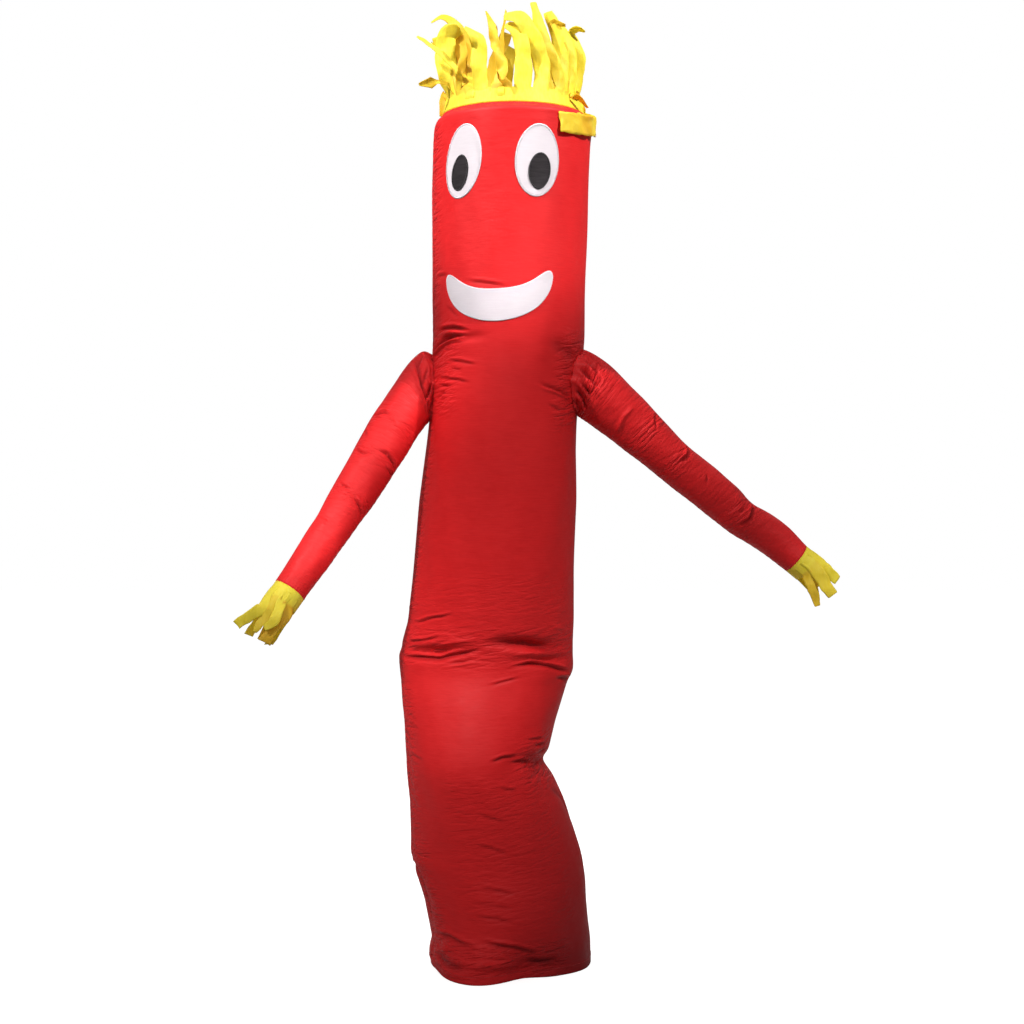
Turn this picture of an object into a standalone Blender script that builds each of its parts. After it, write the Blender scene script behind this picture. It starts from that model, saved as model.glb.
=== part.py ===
"""Inflatable air dancer: a hollow nylon tube with two sleeves, a face and cut ribbons.

Metres, +Z up. The figure stands on its hem and faces -Y. An azimuth is counted in degrees
about the tube, from the front (-Y) towards +X. While it is modelled, the middle of the hem
lies at the origin; at the end the whole figure hangs from one empty, which brings the middle
of its box over the origin.
"""
import math
from collections import namedtuple

import bmesh
import bpy
from mathutils import Matrix, Vector

# ---- driving dimensions, metres and degrees ----
TUBE_RADIUS = 0.2365          # of the full tube, 1.486 m round
CLOTH = 0.0022                # thickness of the nylon
PATCH_CLOTH = 0.0012          # thickness of a face patch
GAP = 0.0004                  # between two pieces sewn to each other
AROUND = 40                   # facets round the tube
SLEEVE_AROUND = 16            # facets round a sleeve
ARMHOLE_SEAM = 0.006          # how far the tube's cloth reaches inside the sleeve's root
HEM_EDGE = 0.010              # the foot's wall stands upright up to here
HEM_DENT_HEIGHT = 0.090       # above it the dents in the foot fade over this height
BAND_TOP = 2.640              # height at which the hair band is slit into ribbons
BAND_TOP_RADIUS = 0.198
RIBBON_SLIT = 0.0045          # between two ribbons at their roots
RIBBON_STEPS = 6
HAND_CUFF = 0.052             # length of the hand's uncut cuff
HAND_RIBBON_STEPS = 4

SKIN_RED = (0.80, 0.045, 0.05, 1.0)
SUN_YELLOW = (0.90, 0.76, 0.05, 1.0)
PATCH_WHITE = (0.90, 0.86, 0.90, 1.0)
PUPIL_GREY = (0.04, 0.04, 0.045, 1.0)

# The tube's outline seen from the front: its two sides at each height, and how far its middle
# lies behind the hem's. Its depth follows from the cloth, whose girth stays the same.
Section = namedtuple("Section", "height left right back")
TUBE_SECTIONS = (
    Section(0.000, -0.247, 0.242, 0.000),
    Section(HEM_EDGE, -0.247, 0.242, 0.000),
    Section(0.022, -0.252, 0.242, 0.000),
    Section(0.045, -0.251, 0.241, 0.000),
    Section(0.075, -0.242, 0.240, 0.000),
    Section(0.130, -0.254, 0.234, 0.002),
    Section(0.191, -0.268, 0.229, 0.005),
    Section(0.252, -0.288, 0.226, 0.006),
    Section(0.318, -0.314, 0.216, 0.010),
    Section(0.345, -0.313, 0.209, 0.012),
    Section(0.372, -0.312, 0.200, 0.015),
    Section(0.493, -0.314, 0.158, 0.020),
    Section(0.553, -0.319, 0.132, 0.025),
    Section(0.600, -0.322, 0.108, 0.030),
    Section(0.618, -0.322, 0.105, 0.032),
    Section(0.640, -0.324, 0.112, 0.034),
    Section(0.733, -0.331, 0.136, 0.050),
    Section(0.793, -0.338, 0.155, 0.060),
    Section(0.854, -0.341, 0.174, 0.070),
    Section(0.882, -0.344, 0.190, 0.075),
    Section(0.905, -0.346, 0.192, 0.079),
    Section(0.935, -0.347, 0.190, 0.080),
    Section(0.950, -0.339, 0.190, 0.078),
    Section(0.977, -0.336, 0.190, 0.075),
    Section(1.040, -0.320, 0.193, 0.070),
    Section(1.102, -0.314, 0.193, 0.065),
    Section(1.257, -0.297, 0.195, 0.050),
    Section(1.412, -0.281, 0.198, 0.035),
    Section(1.565, -0.262, 0.197, 0.020),
    Section(1.656, -0.252, 0.200, 0.010),
    Section(1.763, -0.244, 0.209, 0.004),
    Section(1.900, -0.239, 0.219, 0.000),
    Section(2.022, -0.240, 0.222, -0.002),
    Section(2.174, -0.240, 0.228, -0.006),
    Section(2.325, -0.238, 0.234, -0.010),
    Section(2.477, -0.235, 0.240, -0.015),
    Section(2.536, -0.232, 0.245, -0.018),
    Section(2.556, -0.228, 0.246, -0.018),
    Section(2.570, -0.215, 0.238, -0.018),
    Section(2.580, -0.201, 0.209, -0.018),
)
CROWN = TUBE_SECTIONS[-1]     # the rim that the hair is sewn to
SHOULDER_HEIGHT = 2.556       # above it the top is drawn in and the girth no longer holds

# Heights of further rings, close together where the tube is creased.
CREASE_RINGS = (0.098, 0.290, 0.580, 0.629, 0.652, 0.668, 0.922, 0.943, 0.957, 0.966, 0.988, 1.004,
                1.875, 1.888)

# A fold runs round the tube at a height and azimuth; rise lifts its far end and drops its near
# one. A depth above zero is a trough, below zero a ridge.
Fold = namedtuple("Fold", "height azimuth half_sweep rise half_width depth")
TUBE_FOLDS = (
    Fold(0.957, -36, 40, 0.016, 0.020, 0.021),
    Fold(0.984, -34, 36, 0.012, 0.012, -0.007),
    Fold(0.982, 30, 36, -0.016, 0.018, 0.020),
    Fold(0.955, 36, 30, -0.004, 0.010, -0.012),
    Fold(0.930, 40, 32, 0.000, 0.012, 0.013),
    Fold(0.630, 62, 50, -0.024, 0.020, 0.026),
    Fold(0.660, 48, 34, -0.020, 0.012, -0.009),
    Fold(0.606, 128, 46, 0.010, 0.022, 0.022),
    Fold(0.318, -98, 44, -0.030, 0.022, 0.014),
    Fold(0.943, -140, 36, 0.000, 0.020, 0.012),
    Fold(0.060, 24, 44, -0.012, 0.014, 0.010),
    Fold(1.888, -34, 26, 0.006, 0.012, 0.010),
)

# The foot is pushed in here and there where it stands on the floor.
Dent = namedtuple("Dent", "azimuth half_sweep depth")
HEM_DENTS = (
    Dent(6, 32, 0.045),
    Dent(28, 45, 0.035),
    Dent(-30, 42, -0.022),
    Dent(170, 90, -0.012),
)

# A sleeve's sections: the middle, the height of the section as it is seen from the front, its
# depth, and the angle of its upright line in the XZ plane.
SleeveSection = namedtuple("SleeveSection", "x y z across depth angle")
SLEEVE_LEFT = (
    SleeveSection(-0.170, 0.000, 1.772, 0.193, 0.175, 92),
    SleeveSection(-0.225, 0.000, 1.770, 0.199, 0.177, 93),
    SleeveSection(-0.256, -0.002, 1.768, 0.200, 0.173, 97),
    SleeveSection(-0.279, -0.012, 1.746, 0.189, 0.165, 106),
    SleeveSection(-0.307, -0.030, 1.702, 0.158, 0.154, 126),
    SleeveSection(-0.332, -0.050, 1.663, 0.147, 0.148, 143),
    SleeveSection(-0.369, -0.080, 1.602, 0.147, 0.144, 146),
    SleeveSection(-0.420, -0.115, 1.512, 0.140, 0.138, 146),
    SleeveSection(-0.472, -0.155, 1.421, 0.129, 0.130, 146),
    SleeveSection(-0.528, -0.195, 1.328, 0.114, 0.122, 146),
    SleeveSection(-0.584, -0.238, 1.242, 0.107, 0.111, 146),
    SleeveSection(-0.639, -0.280, 1.155, 0.097, 0.099, 146),
)
SLEEVE_RIGHT = (
    SleeveSection(0.130, -0.030, 1.775, 0.191, 0.192, 88),
    SleeveSection(0.180, -0.030, 1.774, 0.196, 0.196, 86),
    SleeveSection(0.207, -0.030, 1.770, 0.194, 0.194, 82),
    SleeveSection(0.238, -0.030, 1.753, 0.187, 0.185, 70),
    SleeveSection(0.273, -0.030, 1.725, 0.177, 0.177, 56),
    SleeveSection(0.336, -0.030, 1.668, 0.161, 0.163, 51),
    SleeveSection(0.402, -0.030, 1.610, 0.145, 0.150, 51),
    SleeveSection(0.492, -0.028, 1.528, 0.127, 0.138, 51),
    SleeveSection(0.587, -0.025, 1.452, 0.127, 0.128, 51),
    SleeveSection(0.649, -0.020, 1.402, 0.124, 0.124, 51),
    SleeveSection(0.690, -0.020, 1.361, 0.109, 0.128, 51),
    SleeveSection(0.743, -0.015, 1.333, 0.115, 0.115, 51),
    SleeveSection(0.799, -0.010, 1.295, 0.113, 0.107, 51),
    SleeveSection(0.867, -0.005, 1.235, 0.097, 0.097, 51),
)

# Creases of a sleeve: the distance down it as a share of its rows, and the angle round it.
SleeveFold = namedtuple("SleeveFold", "row angle half_sweep half_width depth")
FOLDS_LEFT = (
    SleeveFold(4.5, -100, 80, 0.5, 0.008),
    SleeveFold(8.0, -150, 70, 0.4, 0.006),
)
FOLDS_RIGHT = (
    SleeveFold(4.0, -120, 80, 0.5, 0.006),
    SleeveFold(7.0, -60, 80, 0.4, 0.005),
    SleeveFold(10.0, -60, 90, 0.4, 0.006),
)

# A ribbon leaves its backing along it, then leans outwards, sways sideways and twists as it
# goes; taper is the share of its width that is lost at the tip.
Ribbon = namedtuple("Ribbon", "length lean sway twist taper")
HAIR_RIBBONS = (
    Ribbon(0.25, 14, -6, 20, 0.1),      # back
    Ribbon(0.27, -4, -12, -24, 0.2),
    Ribbon(0.22, 22, -10, 16, 0.1),
    Ribbon(0.26, 2, -6, 30, 0.2),
    Ribbon(0.23, 18, -8, -20, 0.1),
    Ribbon(0.22, -4, -10, 28, 0.2),
    Ribbon(0.12, 80, -4, 20, 0.1),      # left side
    Ribbon(0.20, 36, -8, 50, 0.4),
    Ribbon(0.215, 8, -11, 14, 0.0),
    Ribbon(0.185, -4, 9, -20, 0.0),
    Ribbon(0.215, 12, -1, 34, 0.3),
    Ribbon(0.225, -4, 3, 60, 0.4),      # front
    Ribbon(0.20, 4, -9, -16, 0.0),
    Ribbon(0.235, 20, -28, -16, 0.1),
    Ribbon(0.235, 2, -14, -18, 0.1),
    Ribbon(0.24, 14, -12, 18, 0.1),
    Ribbon(0.215, 2, -4, 26, 0.1),
    Ribbon(0.205, 10, 2, 26, 0.1),      # right side
    Ribbon(0.22, 2, -6, -26, 0.2),
    Ribbon(0.24, -2, -4, 22, 0.2),
    Ribbon(0.24, 20, -6, -16, 0.1),
    Ribbon(0.27, 0, -10, 26, 0.2),
    Ribbon(0.23, 18, -8, -20, 0.1),
    Ribbon(0.26, -6, -4, 24, 0.2),
)
FIRST_RIBBON_AZIMUTH = -180
HAND_LEFT_RIBBONS = (
    Ribbon(0.105, 2, -4, 10, 0.0),      # under side
    Ribbon(0.130, 6, -5, 16, 0.1),
    Ribbon(0.105, 4, -2, -12, 0.0),
    Ribbon(0.120, 9, 4, 14, 0.1),       # upper side
    Ribbon(0.125, 8, 6, -12, 0.1),
    Ribbon(0.115, 2, 4, 12, 0.0),
    Ribbon(0.125, -2, 5, -14, 0.1),
)
HAND_RIGHT_RIBBONS = (
    Ribbon(0.085, 14, -4, 10, 0.2),     # under side
    Ribbon(0.085, 8, -12, -12, 0.2),
    Ribbon(0.080, 3, -7, 12, 0.1),
    Ribbon(0.078, -1, 0, 10, 0.0),      # upper side
    Ribbon(0.085, 4, 7, -12, 0.0),
    Ribbon(0.080, 8, 14, 12, 0.1),
    Ribbon(0.090, 16, 6, -10, 0.2),
)

# One hair ribbon has blown over the crown and lies round the right shoulder.
DrapePoint = namedtuple("DrapePoint", "azimuth radius height roll")
SHOULDER_RIBBON = (
    DrapePoint(112.5, 0.208, 2.664, 0),
    DrapePoint(112.0, 0.228, 2.670, -4),
    DrapePoint(109.5, 0.248, 2.646, -18),
    DrapePoint(103.0, 0.2565, 2.600, -44),
    DrapePoint(91.0, 0.2540, 2.564, -70),
    DrapePoint(77.0, 0.2530, 2.548, -84),
    DrapePoint(63.0, 0.2525, 2.544, -88),
    DrapePoint(50.0, 0.2525, 2.543, -88),
    DrapePoint(38.0, 0.2525, 2.543, -88),
)
SHOULDER_RIBBON_SLOT = 19     # its place in the row of hair ribbons
SHOULDER_RIBBON_WIDTH = 0.060

# Eyes and pupils are upright ovals, laid round the head.
Oval = namedtuple("Oval", "name azimuth height width tall tilt skin_gap")
PUPIL_GAP = GAP + PATCH_CLOTH + GAP
OVALS = (
    Oval("eye_white_left", -38.3, 2.408, 0.139, 0.221, 8, GAP),
    Oval("eye_white_right", 18.7, 2.405, 0.141, 0.215, 2, GAP),
    Oval("pupil_left", -40.6, 2.374, 0.066, 0.109, 9, PUPIL_GAP),
    Oval("pupil_right", 20.2, 2.373, 0.069, 0.109, 4, PUPIL_GAP),
)
OVAL_AROUND = 28
OVAL_RINGS = 3

SMILE_AZIMUTH = -8.6
SMILE_HALF_SWEEP = 44.1
SMILE_CORNER = 2.063          # height of its two ends
SMILE_DROP = 0.129            # how far the lower lip hangs below the corners
SMILE_DIP = 0.031             # how far the upper lip dips below the corners
SMILE_HORN = 0.080            # how far the horns curl up towards the corners
SMILE_COLUMNS = 26
SMILE_ROWS = 3


# ---- sums ----
def between(rows, key, value, column):
    """A column of a table, read straight between the two rows on each side of a value."""
    for low, high in zip(rows, rows[1:]):
        start, end = getattr(low, key), getattr(high, key)
        if value <= end:
            share = (value - start) / (end - start)
            return getattr(low, column) * (1 - share) + getattr(high, column) * share
    return getattr(rows[-1], column)


def hump(distance, half_sweep):
    """1 in the middle of a stretch, falling softly to 0 at its ends."""
    share = abs(distance) / half_sweep
    return math.cos(share * math.pi / 2) ** 2 if share < 1 else 0.0


def turn_between(first, second):
    """The short way round from one azimuth to another, in degrees."""
    return (second - first + 180) % 360 - 180


def fold_depth(height, azimuth):
    """How far the cloth is pushed in at a place on the tube."""
    depth = 0.0
    for fold in TUBE_FOLDS:
        turn = turn_between(fold.azimuth, azimuth)
        rise = fold.rise * turn / fold.half_sweep
        across = (height - fold.height - rise) / fold.half_width
        depth += fold.depth * hump(turn, fold.half_sweep) * math.exp(-across * across)
    fade = math.exp(-(max(0.0, height - HEM_EDGE) / HEM_DENT_HEIGHT) ** 2)
    for dent in HEM_DENTS:
        depth += fade * dent.depth * hump(turn_between(dent.azimuth, azimuth), dent.half_sweep)
    return depth


def tube_point(height, azimuth, off=0.0):
    """A place on the tube's outside, or off it by a small distance."""
    left = between(TUBE_SECTIONS, "height", height, "left")
    right = between(TUBE_SECTIONS, "height", height, "right")
    back = between(TUBE_SECTIONS, "height", height, "back")
    half_width = (right - left) / 2
    half_depth = 2 * TUBE_RADIUS - half_width
    if height > SHOULDER_HEIGHT:
        shoulder_left = between(TUBE_SECTIONS, "height", SHOULDER_HEIGHT, "left")
        shoulder_right = between(TUBE_SECTIONS, "height", SHOULDER_HEIGHT, "right")
        drawn_in = (shoulder_right - shoulder_left) / 2 - half_width
        half_depth = 2 * TUBE_RADIUS - (shoulder_right - shoulder_left) / 2 - drawn_in
    push = off - fold_depth(height, azimuth)
    turn = math.radians(azimuth)
    x = (left + right) / 2 + (half_width + push) * math.sin(turn)
    y = back - (half_depth + push) * math.cos(turn)
    return Vector((x, y, height))


def ring_of_azimuths(count):
    return [360 * step / count for step in range(count)]


# ---- building blocks ----
def new_collection(name):
    collection = bpy.data.collections.new(name)
    bpy.context.scene.collection.children.link(collection)
    return collection


def principled(name, colour, roughness):
    material = bpy.data.materials.new(name)
    material.use_nodes = True
    shader = material.node_tree.nodes["Principled BSDF"]
    shader.inputs["Base Color"].default_value = colour
    shader.inputs["Roughness"].default_value = roughness
    shader.inputs["Metallic"].default_value = 0.0
    return material


def object_from(bm, name, collection, material=None):
    mesh = bpy.data.meshes.new(name)
    bm.to_mesh(mesh)
    bm.free()
    piece = bpy.data.objects.new(name, mesh)
    collection.objects.link(piece)
    if material:
        mesh.materials.append(material)
        mesh.shade_smooth()
    return piece


def loft(rings, capped=False):
    """A tube of quads through rings of points, which run anticlockwise seen from its far end."""
    bm = bmesh.new()
    loops = [[bm.verts.new(point) for point in ring] for ring in rings]
    count = len(rings[0])
    for near, far in zip(loops, loops[1:]):
        for step in range(count):
            after = (step + 1) % count
            bm.faces.new((near[step], near[after], far[after], far[step]))
    if capped:
        bm.faces.new(list(reversed(loops[0])))
        bm.faces.new(loops[-1])
    return bm


def add_thickness(piece, thickness, offset):
    """Offset -1 thickens inwards, 1 outwards and 0 both ways."""
    solidify = piece.modifiers.new("cloth", "SOLIDIFY")
    solidify.thickness = thickness
    solidify.offset = offset
    solidify.use_even_offset = False
    return solidify


def make_cutter(piece):
    piece.hide_render = True
    piece.display_type = "WIRE"


def cut_with(piece, cutter):
    boolean = piece.modifiers.new("cut_" + cutter.name, "BOOLEAN")
    boolean.operation = "DIFFERENCE"
    boolean.solver = "EXACT"
    boolean.object = cutter


# ---- the tube ----
def tube_heights():
    return sorted({row.height for row in TUBE_SECTIONS} | set(CREASE_RINGS))


def tube_rings(heights, off=0.0):
    return [[tube_point(height, azimuth, off) for azimuth in ring_of_azimuths(AROUND)]
            for height in heights]


def make_body(collection, material):
    body = object_from(loft(tube_rings(tube_heights())), "body", collection, material)
    add_thickness(body, CLOTH, -1)
    return body


def make_body_bulk(name, low, high, collection):
    """The tube filled in between two heights, a gap wider than its skin."""
    heights = [height for height in tube_heights() if low <= height <= high]
    bulk = object_from(loft(tube_rings(heights, GAP), capped=True), name, collection)
    make_cutter(bulk)
    return bulk


# ---- sleeves ----
def sleeve_fold_depth(folds, row, angle):
    depth = 0.0
    for fold in folds:
        across = (row - fold.row) / fold.half_width
        sweep = hump(turn_between(fold.angle, angle), fold.half_sweep)
        depth += fold.depth * sweep * math.exp(-across * across)
    return depth


def sleeve_frame(rows, index):
    """The middle of a section, its upright line, its depth line and the way down the sleeve."""
    row = rows[index]
    before = rows[max(index - 1, 0)]
    after = rows[min(index + 1, len(rows) - 1)]
    upright = Vector((math.cos(math.radians(row.angle)), 0, math.sin(math.radians(row.angle))))
    run = math.hypot(after.x - before.x, after.z - before.z)
    outwards = math.copysign(1.0, row.x)
    along = Vector((outwards * upright.z, (after.y - before.y) / run, -outwards * upright.x))
    along.normalize()
    inwards = upright.cross(along) * outwards
    return Vector((row.x, row.y, row.z)), upright, inwards.normalized(), along


def sleeve_ring(rows, index, folds=(), shrink=0.0):
    middle, upright, inwards, _ = sleeve_frame(rows, index)
    half_across = rows[index].across / 2 - shrink
    half_depth = rows[index].depth / 2 - shrink
    ring = []
    for angle in ring_of_azimuths(SLEEVE_AROUND):
        push = sleeve_fold_depth(folds, index, angle)
        turn = math.radians(angle)
        ring.append(middle + upright * (half_across - push) * math.cos(turn)
                    + inwards * (half_depth - push) * math.sin(turn))
    return ring if rows[-1].x < 0 else list(reversed(ring))


def make_sleeve(name, rows, folds, collection, material):
    rings = [sleeve_ring(rows, index, folds) for index in range(len(rows))]
    sleeve = object_from(loft(rings), name, collection, material)
    add_thickness(sleeve, CLOTH, -1)
    return sleeve


def make_armhole(name, rows, root_rows, collection):
    """What the sleeve's root cuts out of the tube, less the seam."""
    rings = [sleeve_ring(rows, index, shrink=ARMHOLE_SEAM) for index in range(root_rows)]
    cutter = object_from(loft(rings, capped=True), name, collection)
    make_cutter(cutter)
    return cutter


# ---- ribbons ----
def ribbon_pairs(root_a, root_b, along, outwards, ribbon, steps):
    """The two edges of a ribbon, from its root to its tip."""
    width = (root_b - root_a).length
    side = (root_b - root_a).normalized()
    across = side.copy()
    middle = (root_a + root_b) / 2
    pairs = []
    for step in range(1, steps + 1):
        share = (step - 0.5) / steps
        lean = math.radians(ribbon.lean * share * 2)
        sway = math.radians(ribbon.sway * share * 2)
        way = along * math.cos(lean) + outwards * math.sin(lean) + side * math.tan(sway)
        way.normalize()
        middle = middle + way * (ribbon.length / steps)
        across = across - way * across.dot(way)
        across.rotate(Matrix.Rotation(math.radians(ribbon.twist / steps), 3, way))
        across.normalize()
        half = across * width * (1 - ribbon.taper * step / steps) / 2
        pairs.append((middle - half, middle + half))
    return pairs


def drape_pairs():
    """The edges of the ribbon that lies round the shoulder."""
    pairs = []
    for point in SHOULDER_RIBBON:
        turn = math.radians(point.azimuth)
        outwards = Vector((math.sin(turn), -math.cos(turn), 0))
        side = Vector((math.cos(turn), math.sin(turn), 0))
        roll = math.radians(point.roll)
        across = side * math.cos(roll) + Vector((0, 0, 1)) * math.sin(roll)
        half = across * SHOULDER_RIBBON_WIDTH / 2
        middle = crown_middle() + outwards * point.radius
        middle.z = point.height
        pairs.append((middle - half, middle + half))
    return pairs


def half_slit_angle(edge_point, azimuth):
    """Half of what a slit takes up at a place on the rim, in degrees."""
    edge, opposite = edge_point(azimuth)[1], edge_point(azimuth + 180)[1]
    return math.degrees(RIBBON_SLIT / (edge - opposite).length)


def ribbon_ring(rows, edge_point, steps, special=None):
    """A band with a row of ribbons on its far edge, as one open sheet.

    edge_point gives the root rim and the slit rim at an azimuth, the way along the band and
    the way out of it. special holds the edges of the ribbons that follow no row.
    """
    bm = bmesh.new()
    pitch = 360 / len(rows)
    roots = []
    for index in range(len(rows)):
        start = FIRST_RIBBON_AZIMUTH + index * pitch
        half_slit = half_slit_angle(edge_point, start + pitch / 2)
        for azimuth in (start + half_slit, start + pitch - half_slit):
            rim, edge, _, _ = edge_point(azimuth)
            roots.append((bm.verts.new(rim), bm.verts.new(edge)))
    for index, (rim, edge) in enumerate(roots):
        next_rim, next_edge = roots[(index + 1) % len(roots)]
        bm.faces.new((rim, next_rim, next_edge, edge))
    for index, ribbon in enumerate(rows):
        edge_a, edge_b = roots[2 * index][1], roots[2 * index + 1][1]
        _, _, along, outwards = edge_point(FIRST_RIBBON_AZIMUTH + (index + 0.5) * pitch)
        pairs = special.get(index) if special and index in special else ribbon_pairs(
            edge_a.co, edge_b.co, along, outwards, ribbon, steps)
        for point_a, point_b in pairs:
            tip_a, tip_b = bm.verts.new(point_a), bm.verts.new(point_b)
            bm.faces.new((edge_a, edge_b, tip_b, tip_a))
            edge_a, edge_b = tip_a, tip_b
    return bm


def crown_middle():
    return Vector(((CROWN.left + CROWN.right) / 2, CROWN.back, CROWN.height))


def hair_edge(azimuth):
    rim = tube_point(CROWN.height, azimuth) + Vector((0, 0, GAP))
    outwards = Vector((math.sin(math.radians(azimuth)), -math.cos(math.radians(azimuth)), 0))
    edge = crown_middle() + outwards * BAND_TOP_RADIUS
    edge.z = BAND_TOP
    return rim, edge, Vector((0, 0, 1)), outwards


def make_hair(collection, material):
    bm = ribbon_ring(HAIR_RIBBONS, hair_edge, RIBBON_STEPS, {SHOULDER_RIBBON_SLOT: drape_pairs()})
    hair = object_from(bm, "hair_fringe", collection, material)
    add_thickness(hair, CLOTH, -1)
    return hair


def hand_edge(rows):
    """The cuff's two rims at an angle round the end of a sleeve."""
    middle, upright, inwards, along = sleeve_frame(rows, len(rows) - 1)
    half_across, half_depth = rows[-1].across / 2, rows[-1].depth / 2
    handed = -math.copysign(1.0, rows[-1].x)

    def edge_point(angle):
        turn = math.radians(angle) * handed
        outwards = upright * math.cos(turn) + inwards * math.sin(turn)
        rim = middle + upright * half_across * math.cos(turn) + inwards * half_depth * math.sin(turn)
        rim = rim + along * GAP
        return rim, rim + along * HAND_CUFF, along, outwards
    return edge_point


def make_hand(name, rows, ribbons, collection, material):
    bm = ribbon_ring(ribbons, hand_edge(rows), HAND_RIBBON_STEPS)
    hand = object_from(bm, name, collection, material)
    add_thickness(hand, CLOTH, -1)
    return hand


# ---- the face ----
def make_oval(oval, collection, material):
    tilt = math.radians(oval.tilt)
    degrees_per_metre = math.degrees(1 / TUBE_RADIUS)

    def place(share, turn):
        across = math.sin(turn) * share * oval.width / 2
        up = math.cos(turn) * share * oval.tall / 2
        azimuth = oval.azimuth + (across * math.cos(tilt) + up * math.sin(tilt)) * degrees_per_metre
        height = oval.height + up * math.cos(tilt) - across * math.sin(tilt)
        return tube_point(height, azimuth, oval.skin_gap)

    bm = bmesh.new()
    hub = bm.verts.new(place(0, 0))
    inner = None
    for ring in range(1, OVAL_RINGS + 1):
        turns = [2 * math.pi * step / OVAL_AROUND for step in range(OVAL_AROUND)]
        outer = [bm.verts.new(place(ring / OVAL_RINGS, turn)) for turn in turns]
        for step in range(OVAL_AROUND):
            after = (step + 1) % OVAL_AROUND
            if inner:
                bm.faces.new((inner[step], outer[step], outer[after], inner[after]))
            else:
                bm.faces.new((hub, outer[step], outer[after]))
        inner = outer
    bmesh.ops.reverse_faces(bm, faces=bm.faces)
    patch = object_from(bm, oval.name, collection, material)
    add_thickness(patch, PATCH_CLOTH, 1)
    return patch


def smile_lips(share):
    """Heights of the upper and the lower lip, from one corner at -1 to the other at 1."""
    corner = math.sqrt(max(0.0, 1 - abs(share) ** 6))
    upper = SMILE_CORNER + corner * (SMILE_HORN * abs(share) ** 2.6 - SMILE_DIP)
    lower = SMILE_CORNER - SMILE_DROP * math.sqrt(max(0.0, 1 - share * share))
    return upper, lower


def make_smile(collection, material):
    bm = bmesh.new()
    columns = []
    for column in range(SMILE_COLUMNS + 1):
        share = math.sin(math.pi * (column / SMILE_COLUMNS - 0.5))
        azimuth = SMILE_AZIMUTH + SMILE_HALF_SWEEP * share
        upper, lower = smile_lips(share)
        if column in (0, SMILE_COLUMNS):
            tip = bm.verts.new(tube_point(SMILE_CORNER, azimuth, GAP))
            columns.append([tip] * (SMILE_ROWS + 1))
            continue
        heights = [lower + (upper - lower) * row / SMILE_ROWS for row in range(SMILE_ROWS + 1)]
        columns.append([bm.verts.new(tube_point(height, azimuth, GAP)) for height in heights])
    for near, far in zip(columns, columns[1:]):
        for row in range(SMILE_ROWS):
            corners = dict.fromkeys((near[row], far[row], far[row + 1], near[row + 1]))
            bm.faces.new(list(corners))
    smile = object_from(bm, "smile", collection, material)
    add_thickness(smile, PATCH_CLOTH, 1)
    return smile


# ---- the whole figure ----
def clear_scene():
    for thing in list(bpy.data.objects):
        bpy.data.objects.remove(thing)


def stand_over_origin(pieces):
    """Hangs every piece from an empty that brings the middle of their box over the origin."""
    bpy.context.view_layer.update()
    graph = bpy.context.evaluated_depsgraph_get()
    corners = [Vector(corner) for piece in pieces for corner in piece.evaluated_get(graph).bound_box]
    low = Vector(min(corner[axis] for corner in corners) for axis in range(3))
    high = Vector(max(corner[axis] for corner in corners) for axis in range(3))
    stand = bpy.data.objects.new("stand", None)
    bpy.context.scene.collection.objects.link(stand)
    for piece in bpy.data.objects:
        if piece is not stand:
            piece.parent = stand
    stand.location = (-(low.x + high.x) / 2, -(low.y + high.y) / 2, -low.z)


def build():
    clear_scene()
    figure = new_collection("air_dancer")
    cutters = new_collection("cutters")
    red = principled("red_nylon", SKIN_RED, 0.45)
    yellow = principled("yellow_nylon", SUN_YELLOW, 0.5)
    white = principled("white_patch", PATCH_WHITE, 0.6)
    grey = principled("grey_patch", PUPIL_GREY, 0.6)

    body = make_body(figure, red)
    bulk = make_body_bulk("shoulder_bulk", 1.40, 2.10, cutters)
    pieces = [body]
    for side, rows, folds in (("left", SLEEVE_LEFT, FOLDS_LEFT), ("right", SLEEVE_RIGHT, FOLDS_RIGHT)):
        sleeve = make_sleeve("arm_" + side, rows, folds, figure, red)
        cut_with(sleeve, bulk)
        cut_with(body, make_armhole("armhole_" + side, rows, 4, cutters))
        pieces.append(sleeve)
    pieces.append(make_hair(figure, yellow))
    pieces.append(make_hand("hand_fringe_left", SLEEVE_LEFT, HAND_LEFT_RIBBONS, figure, yellow))
    pieces.append(make_hand("hand_fringe_right", SLEEVE_RIGHT, HAND_RIGHT_RIBBONS, figure, yellow))
    for oval in OVALS:
        pieces.append(make_oval(oval, figure, grey if oval.name.startswith("pupil") else white))
    pieces.append(make_smile(figure, white))
    stand_over_origin(pieces)


build()
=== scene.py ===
import math

import bmesh
import bpy
import numpy as np
from mathutils import Matrix, Vector


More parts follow.
